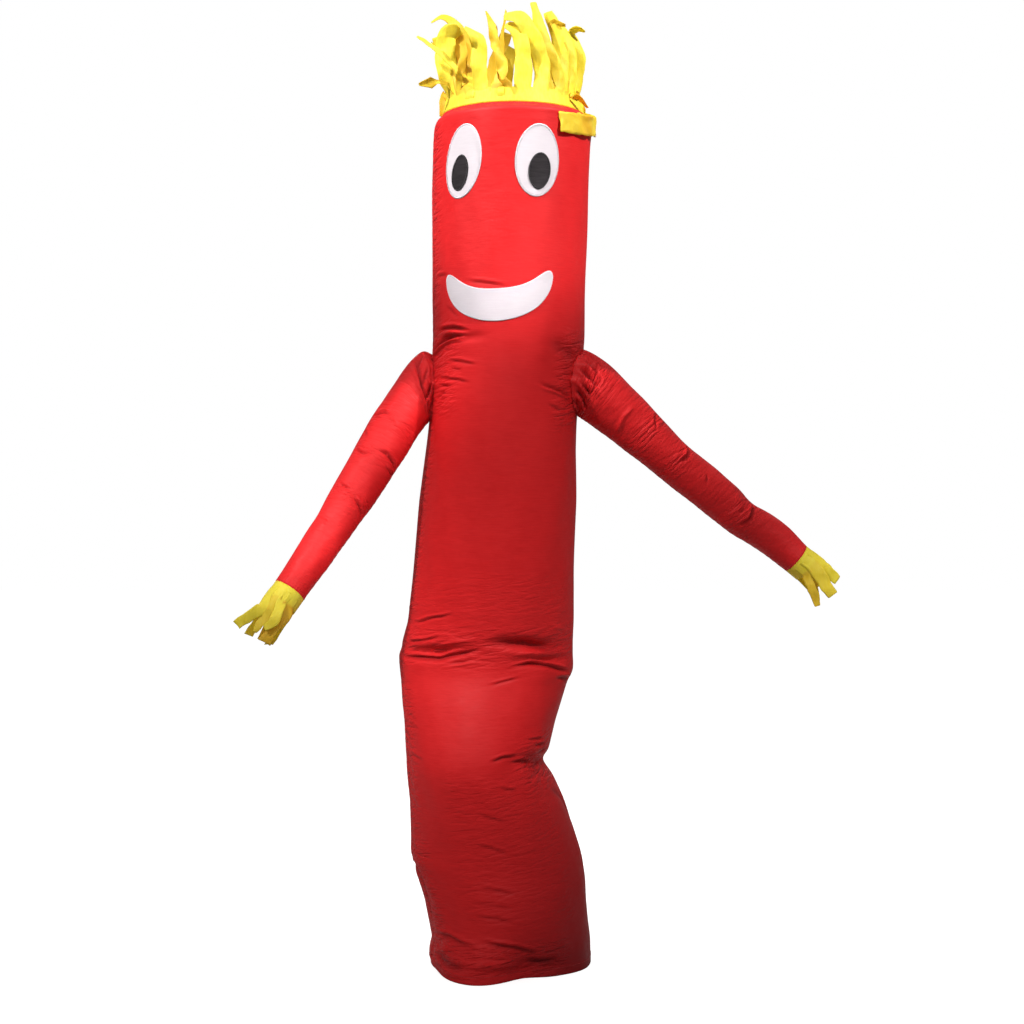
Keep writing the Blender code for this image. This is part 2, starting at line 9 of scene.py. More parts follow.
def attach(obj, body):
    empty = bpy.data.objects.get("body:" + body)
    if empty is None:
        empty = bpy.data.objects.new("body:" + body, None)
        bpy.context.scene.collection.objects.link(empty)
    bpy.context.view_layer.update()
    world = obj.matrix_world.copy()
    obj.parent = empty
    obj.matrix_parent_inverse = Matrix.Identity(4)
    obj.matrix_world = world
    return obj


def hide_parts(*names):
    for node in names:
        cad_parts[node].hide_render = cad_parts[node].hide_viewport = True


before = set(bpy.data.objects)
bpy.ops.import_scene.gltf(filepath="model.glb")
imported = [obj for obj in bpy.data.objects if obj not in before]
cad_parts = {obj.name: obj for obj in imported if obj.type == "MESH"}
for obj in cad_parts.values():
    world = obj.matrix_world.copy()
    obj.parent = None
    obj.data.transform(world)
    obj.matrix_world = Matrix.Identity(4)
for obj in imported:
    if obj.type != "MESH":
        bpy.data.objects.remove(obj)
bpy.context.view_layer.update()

# An inflatable air dancer: a hollow nylon tube with two sleeves, a sewn face and cut ribbons.
# Metres and degrees. Shapes are laid out from the middle of the hem, with an azimuth counted
# from the front (-Y) towards +X, and moved over the frame's origin when they become objects.

hemMiddle = Vector((-0.1090, 0.0542, 0.0))


def column(rows, where, index, soften=0.0):
    # one column of a table of rows, read at many places; soften rounds its corners
    table = np.array(rows, dtype=float)
    shifts = np.linspace(-soften, soften, 7) if soften else (0.0,)
    return sum(np.interp(where + shift, table[:, 0], table[:, index]) for shift in shifts) / len(shifts)


def hump(distance, reach):
    share = np.clip(np.abs(distance) / reach, 0, 1)
    return np.cos(share * math.pi / 2) ** 2


def turnBetween(first, second):
    return (second - first + 180) % 360 - 180


def creasePush(across, along, crease):
    # crease: depth, half width, lip, then its points; the lip is a ridge beside the trough,
    # above it where positive. All are in metres on the flat cloth, and one flank is the steeper
    deep, wide, lip, points = crease
    push = np.zeros(across.shape)
    margin = 4 * wide
    (left, right), (low, high) = ((min(axis) - margin, max(axis) + margin) for axis in zip(*points))
    near = (across > left) & (across < right) & (along > low) & (along < high)
    if not near.any():
        return push
    across, along = across[near], along[near]
    nearest = np.full(across.shape, 9.0)
    side = np.zeros(across.shape)
    share = np.zeros(across.shape)
    lengths = [math.dist(a, b) for a, b in zip(points, points[1:])]
    done = 0.0
    for (ax, ay), (bx, by), length in zip(points, points[1:], lengths):
        dx, dy = (bx - ax) / length, (by - ay) / length
        run = np.clip((across - ax) * dx + (along - ay) * dy, 0, length)
        offX, offY = across - ax - run * dx, along - ay - run * dy
        gap = np.hypot(offX, offY)
        closer = gap < nearest
        nearest = np.where(closer, gap, nearest)
        side = np.where(closer, np.sign(offY * dx - offX * dy) * gap, side)
        share = np.where(closer, (done + run) / sum(lengths), share)
        done += length
    ends = np.clip(np.minimum(share, 1 - share) / 0.35, 0, 1)
    ends = ends * ends * (3 - 2 * ends)
    steep = np.where(side * lip > 0, 0.55, 1.15)
    trough = np.exp(-(nearest / (wide * steep)) ** 2)
    crest = np.exp(-((side - math.copysign(1.25 * wide, lip)) / (0.7 * wide)) ** 2)
    push[near] = (deep * trough - abs(lip) * crest) * ends
    return push


def creasesDepth(creases, scale, turns, runs, perDegree):
    # a table of creases laid on a tube; scale holds one factor each for depth, width and lip
    depth = np.zeros(np.broadcast(turns, runs).shape)
    for *measures, points in ((*crease[:3], crease[3:]) for crease in creases):
        deep, wide, lip = (measure * factor / 1000 for measure, factor in zip(measures, scale))
        middle = sum(point[0] for point in points) / len(points)
        flat = [((turn - middle) * perDegree, run) for turn, run in points]
        depth += creasePush(turnBetween(middle, turns) * perDegree, runs, (deep, wide, lip, flat))
    return depth


def gridMesh(name, points, closed, flip=False, uv=None):
    # points is an array of rows, columns and xyz; closed joins the last column to the first
    rows, columns = points.shape[:2]
    mesh = bpy.data.meshes.new(name)
    faces = []
    for row in range(rows - 1):
        for start in range(columns if closed else columns - 1):
            after = (start + 1) % columns
            face = (row * columns + start, row * columns + after,
                    (row + 1) * columns + after, (row + 1) * columns + start)
            faces.append(face[::-1] if flip else face)
    mesh.from_pydata([tuple(point) for point in points.reshape(-1, 3)], [], faces)
    if uv is not None:
        layer = mesh.uv_layers.new(name="cloth")
        flat = uv.reshape(-1, 2)
        seam = uv[:, :, 0].max() + (uv[0, 1, 0] - uv[0, 0, 0])
        for polygon in mesh.polygons:
            last = closed and {vertex % columns for vertex in polygon.vertices} == {0, columns - 1}
            for loop, vertex in zip(polygon.loop_indices, polygon.vertices):
                u, v = flat[vertex]
                layer.data[loop].uv = (seam if last and vertex % columns == 0 else u, v)
    return mesh


def addAttribute(mesh, name, kind, values):
    attribute = mesh.attributes.new(name, kind, "POINT")
    flat = np.array(values, dtype=np.float32).ravel()
    attribute.data.foreach_set("vector" if kind == "FLOAT_VECTOR" else "value", flat)


def addObject(name, data):
    made = bpy.data.objects.new(name, data)
    bpy.context.scene.collection.objects.link(made)
    return made


def placed(name, mesh, material):
    # an object at the origin, with its place in its mesh
    mesh.transform(Matrix.Translation(hemMiddle))
    mesh.materials.clear()
    mesh.materials.append(material)
    mesh.shade_smooth()
    return addObject(name, mesh)


def evaluatedMesh(piece):
    # the piece's mesh with its modifiers baked in, and the modifiers gone
    bpy.context.view_layer.update()
    graph = bpy.context.evaluated_depsgraph_get()
    mesh = bpy.data.meshes.new_from_object(piece.evaluated_get(graph), depsgraph=graph)
    old = piece.data
    piece.modifiers.clear()
    piece.data = mesh
    if old.users == 0:
        bpy.data.meshes.remove(old)
    return piece


def thicken(piece, thickness, offset):
    # offset -1 thickens inwards, 1 outwards, 0 both ways
    wall = piece.modifiers.new("cloth", "SOLIDIFY")
    wall.thickness = thickness
    wall.offset = offset
    wall.use_even_offset = False
    return evaluatedMesh(piece)


def addNode(tree, kind, inputs=None, **settings):
    # one node with its settings; an input is a value, or another node's output to link from
    node = tree.nodes.new(kind)
    for name, value in settings.items():
        setattr(node, name, value)
    for name, value in (inputs or {}).items():
        if isinstance(value, bpy.types.NodeSocket):
            tree.links.new(value, node.inputs[name])
        else:
            node.inputs[name].default_value = value
    return node


# what the cloth has in common in every colour
finish = {
    "blotchScale": 2.2, "dustScale": 34, "weaveWobble": 0.6,
    # how much blotches, dust and slubs fade the cloth, and where their sum begins and ends to
    "fade": (0.4, 0.2, 0.4), "fadeRange": (0.38, 0.62),
    # how dark it is between the threads, and how high on a thread that ends
    "gapShade": 0.55, "gapReach": 0.7,
    # what dust takes off the roughness and adds to it, and the roughness of the sheen
    "roughSpread": (-0.06, 0.08), "sheenRough": 0.45,
    # crumples, large and small: their share of the look's own scale, and their depth
    "crumples": [(1.0, 0.012), (3.1, 0.0022)],
    # slack lines, large and small: how close together each way, and their depth
    "slackLines": [((8, 34, 1), 0.050), ((22, 85, 1), 0.022)], "slackWidth": 0.12,
    # strength and depth of the finest relief
    "slubs": (0.22, 0.0008), "weave": (0.12, 0.0003)}


def nylonMaterial(name, look):
    material = bpy.data.materials.new(name)
    material.use_nodes = True
    tree = material.node_tree
    tree.nodes.clear()
    place = addNode(tree, "ShaderNodeTexCoord").outputs["Object"]
    # what follows the threads is laid out on the cloth's own flat measure, where it has one
    flat = addNode(tree, "ShaderNodeUVMap", uv_map="cloth").outputs["UV"] if look["flat"] else place

    def noise(scale, detail, stretch=(1, 1, 1), roughness=0.55):
        mapping = addNode(tree, "ShaderNodeMapping", {"Vector": place, "Scale": stretch})
        texture = addNode(tree, "ShaderNodeTexNoise", {
            "Vector": mapping.outputs["Vector"], "Scale": scale, "Detail": detail, "Roughness": roughness})
        return texture.outputs["Fac"]

    def streaks(stretch, detail, turn=0):
        # noise drawn out along the threads
        mapping = addNode(tree, "ShaderNodeMapping", {
            "Vector": flat, "Rotation": (0, 0, math.radians(turn)),
            "Scale": [1 / size for size in stretch]}, vector_type="TEXTURE")
        texture = addNode(tree, "ShaderNodeTexNoise", {
            "Vector": mapping.outputs["Vector"], "Scale": 1.0, "Detail": detail})
        return texture.outputs["Fac"]

    def ranged(value, low, high, toLow, toHigh):
        return addNode(tree, "ShaderNodeMapRange", {
            "Value": value, "From Min": low, "From Max": high,
            "To Min": toLow, "To Max": toHigh}).outputs["Result"]

    def sums(kind, first, second):
        return addNode(tree, "ShaderNodeMath", {0: first, 1: second}, operation=kind).outputs["Value"]

    def mixed(share, first, second, blend="MIX"):
        return addNode(tree, "ShaderNodeMix", {0: share, 6: first, 7: second},
                       data_type="RGBA", blend_type=blend).outputs[2]

    def bumped(height, strength, distance, before=None):
        bump = addNode(tree, "ShaderNodeBump", {
            "Height": height, "Strength": strength, "Distance": distance})
        if before is not None:
            tree.links.new(before, bump.inputs["Normal"])
        return bump.outputs["Normal"]

    # the weave: warp and weft as two crossed sines
    weave = None
    for direction in ("X", "Y"):
        upright = direction == "Y" and not look["flat"]
        mapping = addNode(tree, "ShaderNodeMapping", {
            "Vector": flat, "Rotation": (0, math.radians(90 if upright else 0), 0)})
        wave = addNode(tree, "ShaderNodeTexWave", {
            "Vector": mapping.outputs["Vector"], "Scale": look["weaveScale"], "Detail": 1.0,
            "Distortion": finish["weaveWobble"]}, bands_direction=direction if look["flat"] else "X")
        weave = wave.outputs["Fac"] if weave is None else sums("MULTIPLY", weave, wave.outputs["Fac"])

    # the colour: faded in blotches, painted shade where the mesh says so, darker between the threads
    blotch = noise(finish["blotchScale"], 3)
    dust = noise(finish["dustScale"], 5, roughness=0.65)
    slub = streaks(look["slub"], 2)
    blotched, dusted, slubbed = (sums("MULTIPLY", source, share)
                                 for source, share in zip((blotch, dust, slub), finish["fade"]))
    tone = sums("ADD", sums("ADD", blotched, dusted), slubbed)
    shade = mixed(ranged(tone, *finish["fadeRange"], 0, 1), look["colour"], look["faded"])
    # painted shade: where the mesh's attribute says so, the look's "deep" colour is mixed in to stand for
    # shade
    paintedShade = addNode(tree, "ShaderNodeAttribute", attribute_name="paintedShade").outputs["Fac"]
    shade = mixed(paintedShade, shade, look["deep"])
    gaps = ranged(weave, 0.0, finish["gapReach"], finish["gapShade"], 0.0)
    shade = mixed(gaps, shade, look["thread"], "MULTIPLY")

    # creased paper-like valleys, large and small
    relief = None
    for share, distance in finish["crumples"]:
        valley = sums("SUBTRACT", noise(share * look["crumpleScale"], 3, look["crumpleStretch"]), 0.5)
        relief = bumped(sums("ABSOLUTE", valley, 0), look["crumple"], distance, relief)
    # slack lines where the mesh says that the cloth is slack
    slack = addNode(tree, "ShaderNodeAttribute", attribute_name="slack").outputs["Fac"]
    for stretch, distance in finish["slackLines"]:
        ridge = sums("ABSOLUTE", sums("SUBTRACT", streaks(stretch, 2, look["slackTurn"]), 0.5), 0)
        ridge = sums("MULTIPLY", sums("MINIMUM", ridge, finish["slackWidth"]), slack)
        relief = bumped(ridge, 1.0, distance, relief)
    # the slubs and the weave itself
    relief = bumped(slub, *finish["slubs"], relief)
    relief = bumped(weave, *finish["weave"], relief)

    shader = addNode(tree, "ShaderNodeBsdfPrincipled", {
        "Base Color": shade, "Normal": relief, "Specular IOR Level": look["gloss"],
        "Roughness": ranged(dust, 0.3, 0.7, *(look["rough"] + change for change in finish["roughSpread"])),
        "Sheen Weight": look["sheen"], "Sheen Roughness": finish["sheenRough"]})
    glow = addNode(tree, "ShaderNodeBsdfTranslucent", {"Color": shade})
    through = addNode(tree, "ShaderNodeMixShader", {
        "Fac": look["through"], 1: shader.outputs["BSDF"], 2: glow.outputs["BSDF"]})
    addNode(tree, "ShaderNodeOutputMaterial", {"Surface": through.outputs["Shader"]})
    return material


def colour(red, green, blue):
    return (red, green, blue, 1.0)


# each look's "deep" colour is the painted shade that the mesh's attribute mixes in
redNylon = nylonMaterial("redNylon", {
    "colour": colour(0.68, 0.010, 0.012), "faded": colour(0.76, 0.018, 0.020),
    "thread": colour(0.80, 0.70, 0.70), "deep": colour(0.22, 0.002, 0.004),
    "rough": 0.55, "sheen": 0.0, "gloss": 0.20, "through": 0.06,
    "flat": True, "weaveScale": 190, "slub": (22, 330, 1), "slackTurn": 8,
    "crumple": 0.26, "crumpleScale": 6, "crumpleStretch": (1, 1, 2.2)})
# its "deep" colour is an orange painted shade, for the shaded and doubled parts of the ribbons
yellowNylon = nylonMaterial("yellowNylon", {
    "colour": colour(0.94, 0.80, 0.035), "faded": colour(0.98, 0.88, 0.09),
    "thread": colour(0.92, 0.84, 0.62), "deep": colour(0.80, 0.40, 0.012),
    "rough": 0.55, "sheen": 0.03, "gloss": 0.30, "through": 0.32,
    "flat": False, "weaveScale": 190, "slackTurn": 0, "slub": (180, 180, 40),
    "crumple": 0.45, "crumpleScale": 14, "crumpleStretch": (1, 1, 1.0)})
whiteNylon = nylonMaterial("whiteNylon", {
    "colour": colour(0.64, 0.575, 0.60), "faded": colour(0.68, 0.62, 0.64),
    "thread": colour(0.93, 0.91, 0.94), "deep": colour(0.5, 0.45, 0.5),
    "rough": 0.6, "sheen": 0.02, "gloss": 0.25, "through": 0.0,
    "flat": False, "weaveScale": 190, "slackTurn": 0, "slub": (24, 24, 330),
    "crumple": 0.12, "crumpleScale": 9, "crumpleStretch": (1, 1, 1.6)})
greyNylon = nylonMaterial("greyNylon", {
    "colour": colour(0.014, 0.011, 0.012), "faded": colour(0.034, 0.028, 0.030),
    "thread": colour(0.75, 0.75, 0.78), "deep": colour(0.01, 0.01, 0.01),
    "rough": 0.6, "sheen": 0.0, "gloss": 0.12, "through": 0.0,
    "flat": False, "weaveScale": 190, "slackTurn": 0, "slub": (24, 24, 330),
    "crumple": 0.12, "crumpleScale": 12, "crumpleStretch": (1, 1, 1.6)})


def threadMaterial(name, shade):
    material = bpy.data.materials.new(name)
    material.use_nodes = True
    tree = material.node_tree
    place = addNode(tree, "ShaderNodeTexCoord").outputs["Object"]
    twist = addNode(tree, "ShaderNodeTexNoise", {"Vector": place, "Scale": 900}).outputs["Fac"]
    dark = tuple(0.7 * part for part in shade[:3]) + (1,)
    twisted = addNode(tree, "ShaderNodeMix", {0: twist, 6: dark, 7: shade}, data_type="RGBA")
    bump = addNode(tree, "ShaderNodeBump", {"Height": twist, "Strength": 0.4, "Distance": 0.0003})
    shader = tree.nodes["Principled BSDF"]
    shader.inputs["Roughness"].default_value = 0.6
    shader.inputs["Sheen Weight"].default_value = 0.2
    tree.links.new(twisted.outputs[2], shader.inputs["Base Color"])
    tree.links.new(bump.outputs["Normal"], shader.inputs["Normal"])
    return material


redThread = threadMaterial("redThread", colour(0.50, 0.015, 0.02))
whiteThread = threadMaterial("whiteThread", colour(0.88, 0.84, 0.88))
greyThread = threadMaterial("greyThread", colour(0.02, 0.018, 0.02))
print("nylon and thread ready")


tube = {
    "radius": 0.2365, "cloth": 0.0022, "lining": 0.012, "hemTop": 0.026, "hemProud": 0.0012,
    "shoulder": 2.546, "top": 2.566, "soften": 0.010, "slowSoften": 0.050,
    "frontColumns": 106, "frontReach": 100, "backColumns": 42,
    # from a height to a height, how far apart the rows are: close together at the creases
    "rowSteps": [
        (0.0, 0.14, 0.0036), (0.14, 0.56, 0.0056), (0.56, 0.72, 0.0036), (0.72, 0.86, 0.0056),
        (0.86, 1.10, 0.0034), (1.10, 1.66, 0.0060), (1.66, 1.94, 0.0036), (1.94, 2.10, 0.0050),
        (2.10, 2.53, 0.0060), (2.53, 2.566, 0.0045)],
    # rows of the plainer inside: from a height to a height, how many
    "insideRows": [(0, 0.04, 4), (0.06, 2.53, 60), (2.54, 2.566, 4)],
    # how near a rim the inside starts to draw in, and how far beyond the deepest crease it goes
    "rimReach": 0.04, "liningSpare": 1.15,
    # height, left side, right side, how far the middle lies back
    "sections": [
        (0.000, -0.247, 0.242, 0.000), (0.010, -0.247, 0.242, 0.000), (0.022, -0.252, 0.242, 0.000),
        (0.045, -0.251, 0.241, 0.000), (0.075, -0.242, 0.240, 0.000), (0.130, -0.254, 0.234, 0.002),
        (0.191, -0.268, 0.229, 0.005), (0.252, -0.288, 0.226, 0.006), (0.318, -0.314, 0.216, 0.010),
        (0.345, -0.313, 0.209, 0.012), (0.372, -0.312, 0.200, 0.015), (0.493, -0.314, 0.158, 0.020),
        (0.553, -0.319, 0.132, 0.025), (0.600, -0.322, 0.108, 0.030), (0.618, -0.322, 0.105, 0.032),
        (0.640, -0.324, 0.112, 0.034), (0.733, -0.331, 0.136, 0.050), (0.793, -0.338, 0.155, 0.060),
        (0.854, -0.341, 0.174, 0.070), (0.882, -0.344, 0.190, 0.075), (0.905, -0.346, 0.192, 0.079),
        (0.935, -0.347, 0.190, 0.080), (0.950, -0.339, 0.190, 0.078), (0.977, -0.336, 0.190, 0.075),
        (1.040, -0.320, 0.193, 0.070), (1.102, -0.314, 0.193, 0.065), (1.257, -0.297, 0.195, 0.050),
        (1.412, -0.281, 0.198, 0.035), (1.565, -0.262, 0.197, 0.020), (1.656, -0.252, 0.200, 0.010),
        (1.763, -0.244, 0.209, 0.004), (1.900, -0.239, 0.219, 0.000), (2.022, -0.240, 0.222, -0.002),
        (2.174, -0.240, 0.228, -0.006), (2.325, -0.238, 0.234, -0.010), (2.477, -0.235, 0.240, -0.015),
        (2.530, -0.232, 0.245, -0.018), (2.546, -0.227, 0.246, -0.018), (2.557, -0.216, 0.238, -0.018),
        (2.566, -0.207, 0.214, -0.018)],
    # main folds: height, azimuth, half sweep, rise, half width, depth
    "folds": [
        (0.957, -36, 40, 0.016, 0.020, 0.018), (0.984, -34, 36, 0.012, 0.012, -0.006),
        (0.982, 30, 36, -0.016, 0.018, 0.017), (0.955, 36, 30, -0.004, 0.010, -0.009),
        (0.930, 40, 32, 0.000, 0.012, 0.010), (0.630, 62, 50, -0.024, 0.020, 0.020),
        (0.606, 128, 46, 0.010, 0.022, 0.022), (0.318, -98, 44, -0.030, 0.022, 0.014),
        (0.943, -140, 36, 0.000, 0.020, 0.012), (1.888, -34, 26, 0.006, 0.012, 0.005)],
    # dents of the foot: azimuth, half sweep, depth; whole up to one height, fading over the other
    "dents": [(6, 32, 0.026), (28, 45, 0.030), (-28, 42, -0.042), (170, 90, -0.012)],
    "dentReach": (0.010, 0.090),
    # creases: depth, half width, lip in millimetres, then azimuth and height of each point
    "creases": [
        # the main crease across the belly, left half
        (9, 8, 5, (-76, 0.935), (-63, 0.935), (-49, 0.938), (-33, 0.937), (-24, 0.950),
         (-12, 0.961), (2, 0.981)),
        (5, 6, -3, (-26, 0.922), (-15, 0.930), (-6, 0.942)),
        (4, 5, 3, (-70, 0.978), (-47, 0.992), (-31, 1.012)),
        (3, 5, -2, (-42, 0.974), (-24, 0.996)),
        (4, 5, 3, (-68, 1.046), (-58, 1.044), (-45, 1.060), (-31, 1.070), (-24, 1.086)),
        # and its right half, a wide soft trough over a rolled edge
        (7, 12, 0, (-8, 0.984), (8, 0.990), (27, 0.988), (43, 0.966), (62, 0.940)),
        (8, 7, 6, (12, 0.910), (22, 0.920), (31, 0.925), (45, 0.914), (58, 0.900), (72, 0.884)),
        (3, 5, 2, (2, 0.860), (10, 0.872), (24, 0.886)),
        (9, 7, 3, (53, 0.876), (66, 0.872), (84, 0.860)),
        (-2, 6, 0, (44, 1.036), (66, 1.015)),
        # the nip at the right knee
        (6, 6, 3, (10, 0.645), (21, 0.660), (35, 0.660)),
        (6, 5, 3, (27, 0.641), (40, 0.643), (56, 0.628)),
        (6, 4, -4, (42, 0.622), (56, 0.611), (66, 0.614), (72, 0.624)),
        (4, 5, 2, (40, 0.703), (58, 0.700)),
        (5, 5, 2, (47, 0.684), (68, 0.680)),
        (5, 5, 2, (56, 0.660), (74, 0.657)),
        (4, 10, 0, (60, 0.560), (84, 0.500), (100, 0.400)),
        # slack lines down the front of the lower tube
        (3, 6, 2, (17, 0.571), (31, 0.559)),
        (3, 6, 2, (-6, 0.496), (7, 0.479), (17, 0.469)),
        (3, 6, 2, (-12, 0.406), (1, 0.391), (13, 0.369)),
        (3, 6, 2, (-14, 0.278), (-1, 0.269), (12, 0.255)),
        (2, 6, 1, (-21, 0.230), (-6, 0.227), (9, 0.217)),
        (3, 6, 2, (-22, 0.194), (-5, 0.189), (7, 0.178)),
        (2, 6, 2, (-68, 0.651), (-44, 0.641)),
        (2, 6, 2, (-66, 0.738), (-50, 0.730)),
        (4, 9, 0, (-80, 0.330), (-66, 0.273), (-68, 0.200), (-66, 0.120)),
        # the foot
        (-8, 9, 0, (-72, 0.052), (-58, 0.068), (-41, 0.094)),
        (6, 12, 0, (-66, 0.048), (-46, 0.046), (-22, 0.036)),
        (5, 10, 3, (-66, 0.112), (-46, 0.120), (-20, 0.098)),
        (6, 8, 4, (-20, 0.122), (3, 0.106), (24, 0.074)),
        (-7, 11, 0, (-30, 0.062), (-15, 0.056), (9, 0.045)),
        (6, 9, 0, (8, 0.060), (24, 0.050), (40, 0.050)),
        # the chest and the left shoulder
        (9, 7, 2, (-64, 1.918), (-54, 1.923), (-44, 1.922), (-29, 1.908)),
        (-6, 5, 0, (-62, 1.906), (-42, 1.907), (-27, 1.897)),
        (10, 8, -8, (-84, 1.838), (-74, 1.851), (-58, 1.880), (-46, 1.893), (-28, 1.899)),
        (4, 5, 2, (-50, 1.829), (-37, 1.822), (-21, 1.808)),
        (3, 5, 2, (-46, 1.802), (-34, 1.796)),
        (4, 5, 2, (-58, 1.777), (-38, 1.768), (-25, 1.756)),
        (4, 5, 2, (-61, 1.760), (-44, 1.748)),
        (4, 5, -3, (-62, 1.708), (-55, 1.726), (-48, 1.732)),
        (6, 6, -4, (23, 1.765), (31, 1.748), (44, 1.736), (56, 1.722), (66, 1.690)),
        (3, 6, 1, (34, 1.700), (52, 1.672)),
        (4, 18, 0, (30, 1.880), (52, 1.850), (66, 1.820)),
        # beside the mouth
        (3, 5, 2, (-34, 2.056), (-16, 2.046), (1, 2.032)),
        (4, 5, 2, (-67, 2.081), (-49, 2.077)),
        (4, 5, 3, (-53, 1.993), (-46, 1.972), (-38, 1.946)),
        # behind
        (7, 9, 4, (150, 0.930), (180, 0.915), (212, 0.925)),
        (6, 9, 4, (110, 0.640), (140, 0.622), (175, 0.630)),
        (5, 8, 3, (130, 1.880), (165, 1.868), (200, 1.885)),
        (4, 8, 2, (175, 0.330), (210, 0.345), (236, 0.330)),
        (3, 7, 2, (140, 1.760), (160, 1.742), (178, 1.748)),
        (3, 8, 2, (200, 1.790), (222, 1.770), (240, 1.775)),
        (3, 8, 2, (150, 0.180), (185, 0.200), (220, 0.185)),
        (6, 12, -5, (150, 0.070), (180, 0.055), (215, 0.075))],
    # factors for the depth, width and lip of a crease
    "creaseScale": (1.25, 0.9, 1.3),
    # seams, how strongly the cloth is gathered along each, the ripples' depth and the seam's own dip
    "sideSeam": -74, "backSeam": 178, "gathered": {"sideSeam": 1.0, "backSeam": 0.7},
    "pucker": 0.0013, "seamDip": 0.0022, "waviness": 0.0028,
    # how dark the painted shade in the creases is, and how deep one is where it is darkest
    "paintedCreaseShade": 0.6, "darkAt": 0.008,
    # where the foot gets painted shade: azimuth, half sweep, up to what height, how much
    "paintedFootShade": (68, 100, 0.70, 0.95),
    # where the cloth is slack: lowest, highest, from and to azimuth, how much
    "slack": [
        (1.94, 2.54, -100, -60, 0.38), (1.05, 1.66, -100, -62, 0.32), (0.40, 0.86, -100, -54, 0.34),
        (0.02, 0.40, -100, -46, 0.50), (1.06, 1.66, -60, 70, 0.02), (1.96, 2.54, -58, 90, 0.015),
        (1.04, 1.20, -60, 66, 0.10), (0.14, 0.62, -30, 60, 0.16), (0.10, 0.86, -54, 80, 0.03),
        (0.54, 0.72, 34, 110, 0.50), (1.62, 1.92, 40, 100, 0.42), (1.66, 1.95, -90, -36, 0.34),
        (0.90, 1.05, -90, 100, 0.25), (0.00, 0.12, -90, 50, 0.60), (0.05, 2.52, 96, 264, 0.16)]}
metresPerDegree = math.radians(tube["radius"])


def tubeFoldDepth(azimuth, height):
    depth = np.zeros(np.broadcast(azimuth, height).shape)
    for foldHeight, middle, reach, rise, wide, deep in tube["folds"]:
        turn = turnBetween(middle, azimuth)
        across = (height - foldHeight - rise * turn / reach) / wide
        depth += deep * hump(turn, reach) * np.exp(-across ** 2)
    whole, fading = tube["dentReach"]
    fade = np.exp(-(np.maximum(0, height - whole) / fading) ** 2)
    for middle, reach, deep in tube["dents"]:
        depth += fade * deep * hump(turnBetween(middle, azimuth), reach)
    return depth


def slackness(azimuth, height):
    most = np.zeros(np.broadcast(azimuth, height).shape)
    for low, high, first, last, much in tube["slack"]:
        upright = np.clip((height - low) / 0.06 + 0.3, 0, 1) * np.clip((high - height) / 0.06 + 0.3, 0, 1)
        middle, reach = (first + last) / 2, (last - first) / 2
        around = np.clip((reach - np.abs(turnBetween(middle, azimuth))) / 12 + 0.3, 0, 1)
        most = np.maximum(most, much * upright * around)
    return most


def tubeCreaseDepth(azimuth, height):
    depth = creasesDepth(tube["creases"], tube["creaseScale"], azimuth, height, metresPerDegree)
    return depth * np.clip((height - 0.004) / 0.020, 0, 1) * np.clip((tube["top"] - height) / 0.015, 0, 1)


def puckerDepth(azimuth, height):
    # the cloth is gathered a little along its seams
    depth = np.zeros(np.broadcast(azimuth, height).shape)
    for seam, strength in tube["gathered"].items():
        away = turnBetween(tube[seam], azimuth) * metresPerDegree
        slanted = height + 0.35 * np.abs(away)
        ripple = (np.sin(slanted * 330 + 2.4 * np.sin(height * 31)) * (0.6 + 0.4 * np.sin(height * 47))
                  + 0.7 * np.sin(slanted * 187 + 1.3) + 0.45 * np.sin(slanted * 521 + 0.7))
        depth += strength * tube["pucker"] * ripple * np.exp(-np.abs(away) / 0.022)
        depth += strength * tube["seamDip"] * np.exp(-(away / 0.004) ** 2)
    return depth * np.clip(height / 0.05, 0, 1) * np.clip((tube["top"] - height) / 0.02, 0, 1)


def tubeSurface(azimuth, height, off=0.0, fine=True):
    azimuth, height = np.broadcast_arrays(np.asarray(azimuth, float), np.asarray(height, float))

    def side(index, most):
        reach = np.minimum(most, 0.4 * np.minimum(height, np.abs(tube["shoulder"] - height) + 0.004))
        return sum(column(tube["sections"], height + reach * shift, index)
                   for shift in (-1, -0.67, -0.33, 0, 0.33, 0.67, 1)) / 7

    left, right = side(1, tube["soften"]), side(2, tube["soften"])
    slowLeft, slowRight, back = (side(index, tube["slowSoften"]) for index in (1, 2, 3))
    halfWide = (right - left) / 2
    shoulderLeft, shoulderRight = (column(tube["sections"], tube["shoulder"], index) for index in (1, 2))
    atShoulder = (shoulderRight - shoulderLeft) / 2
    halfDeep = np.where(height < tube["shoulder"], 2 * tube["radius"] - (slowRight - slowLeft) / 2,
                        2 * tube["radius"] - 2 * atShoulder + halfWide)
    push = off - tubeFoldDepth(azimuth, height)
    if fine:
        depth = tubeCreaseDepth(azimuth, height) + puckerDepth(azimuth, height)
        push = push - np.where(depth > 0, tube["lining"] * np.tanh(depth / tube["lining"]), depth)
        hem = np.clip((tube["hemTop"] - height) / 0.002, 0, 1)
        push = push + tube["hemProud"] * hem
        push = push + tube["waviness"] * waviness(azimuth, height)
    turn = np.radians(azimuth)
    x = (left + right) / 2 + (halfWide + push) * np.sin(turn)
    y = back - (halfDeep + push) * np.cos(turn)
    return np.stack((x, y, height), axis=-1)


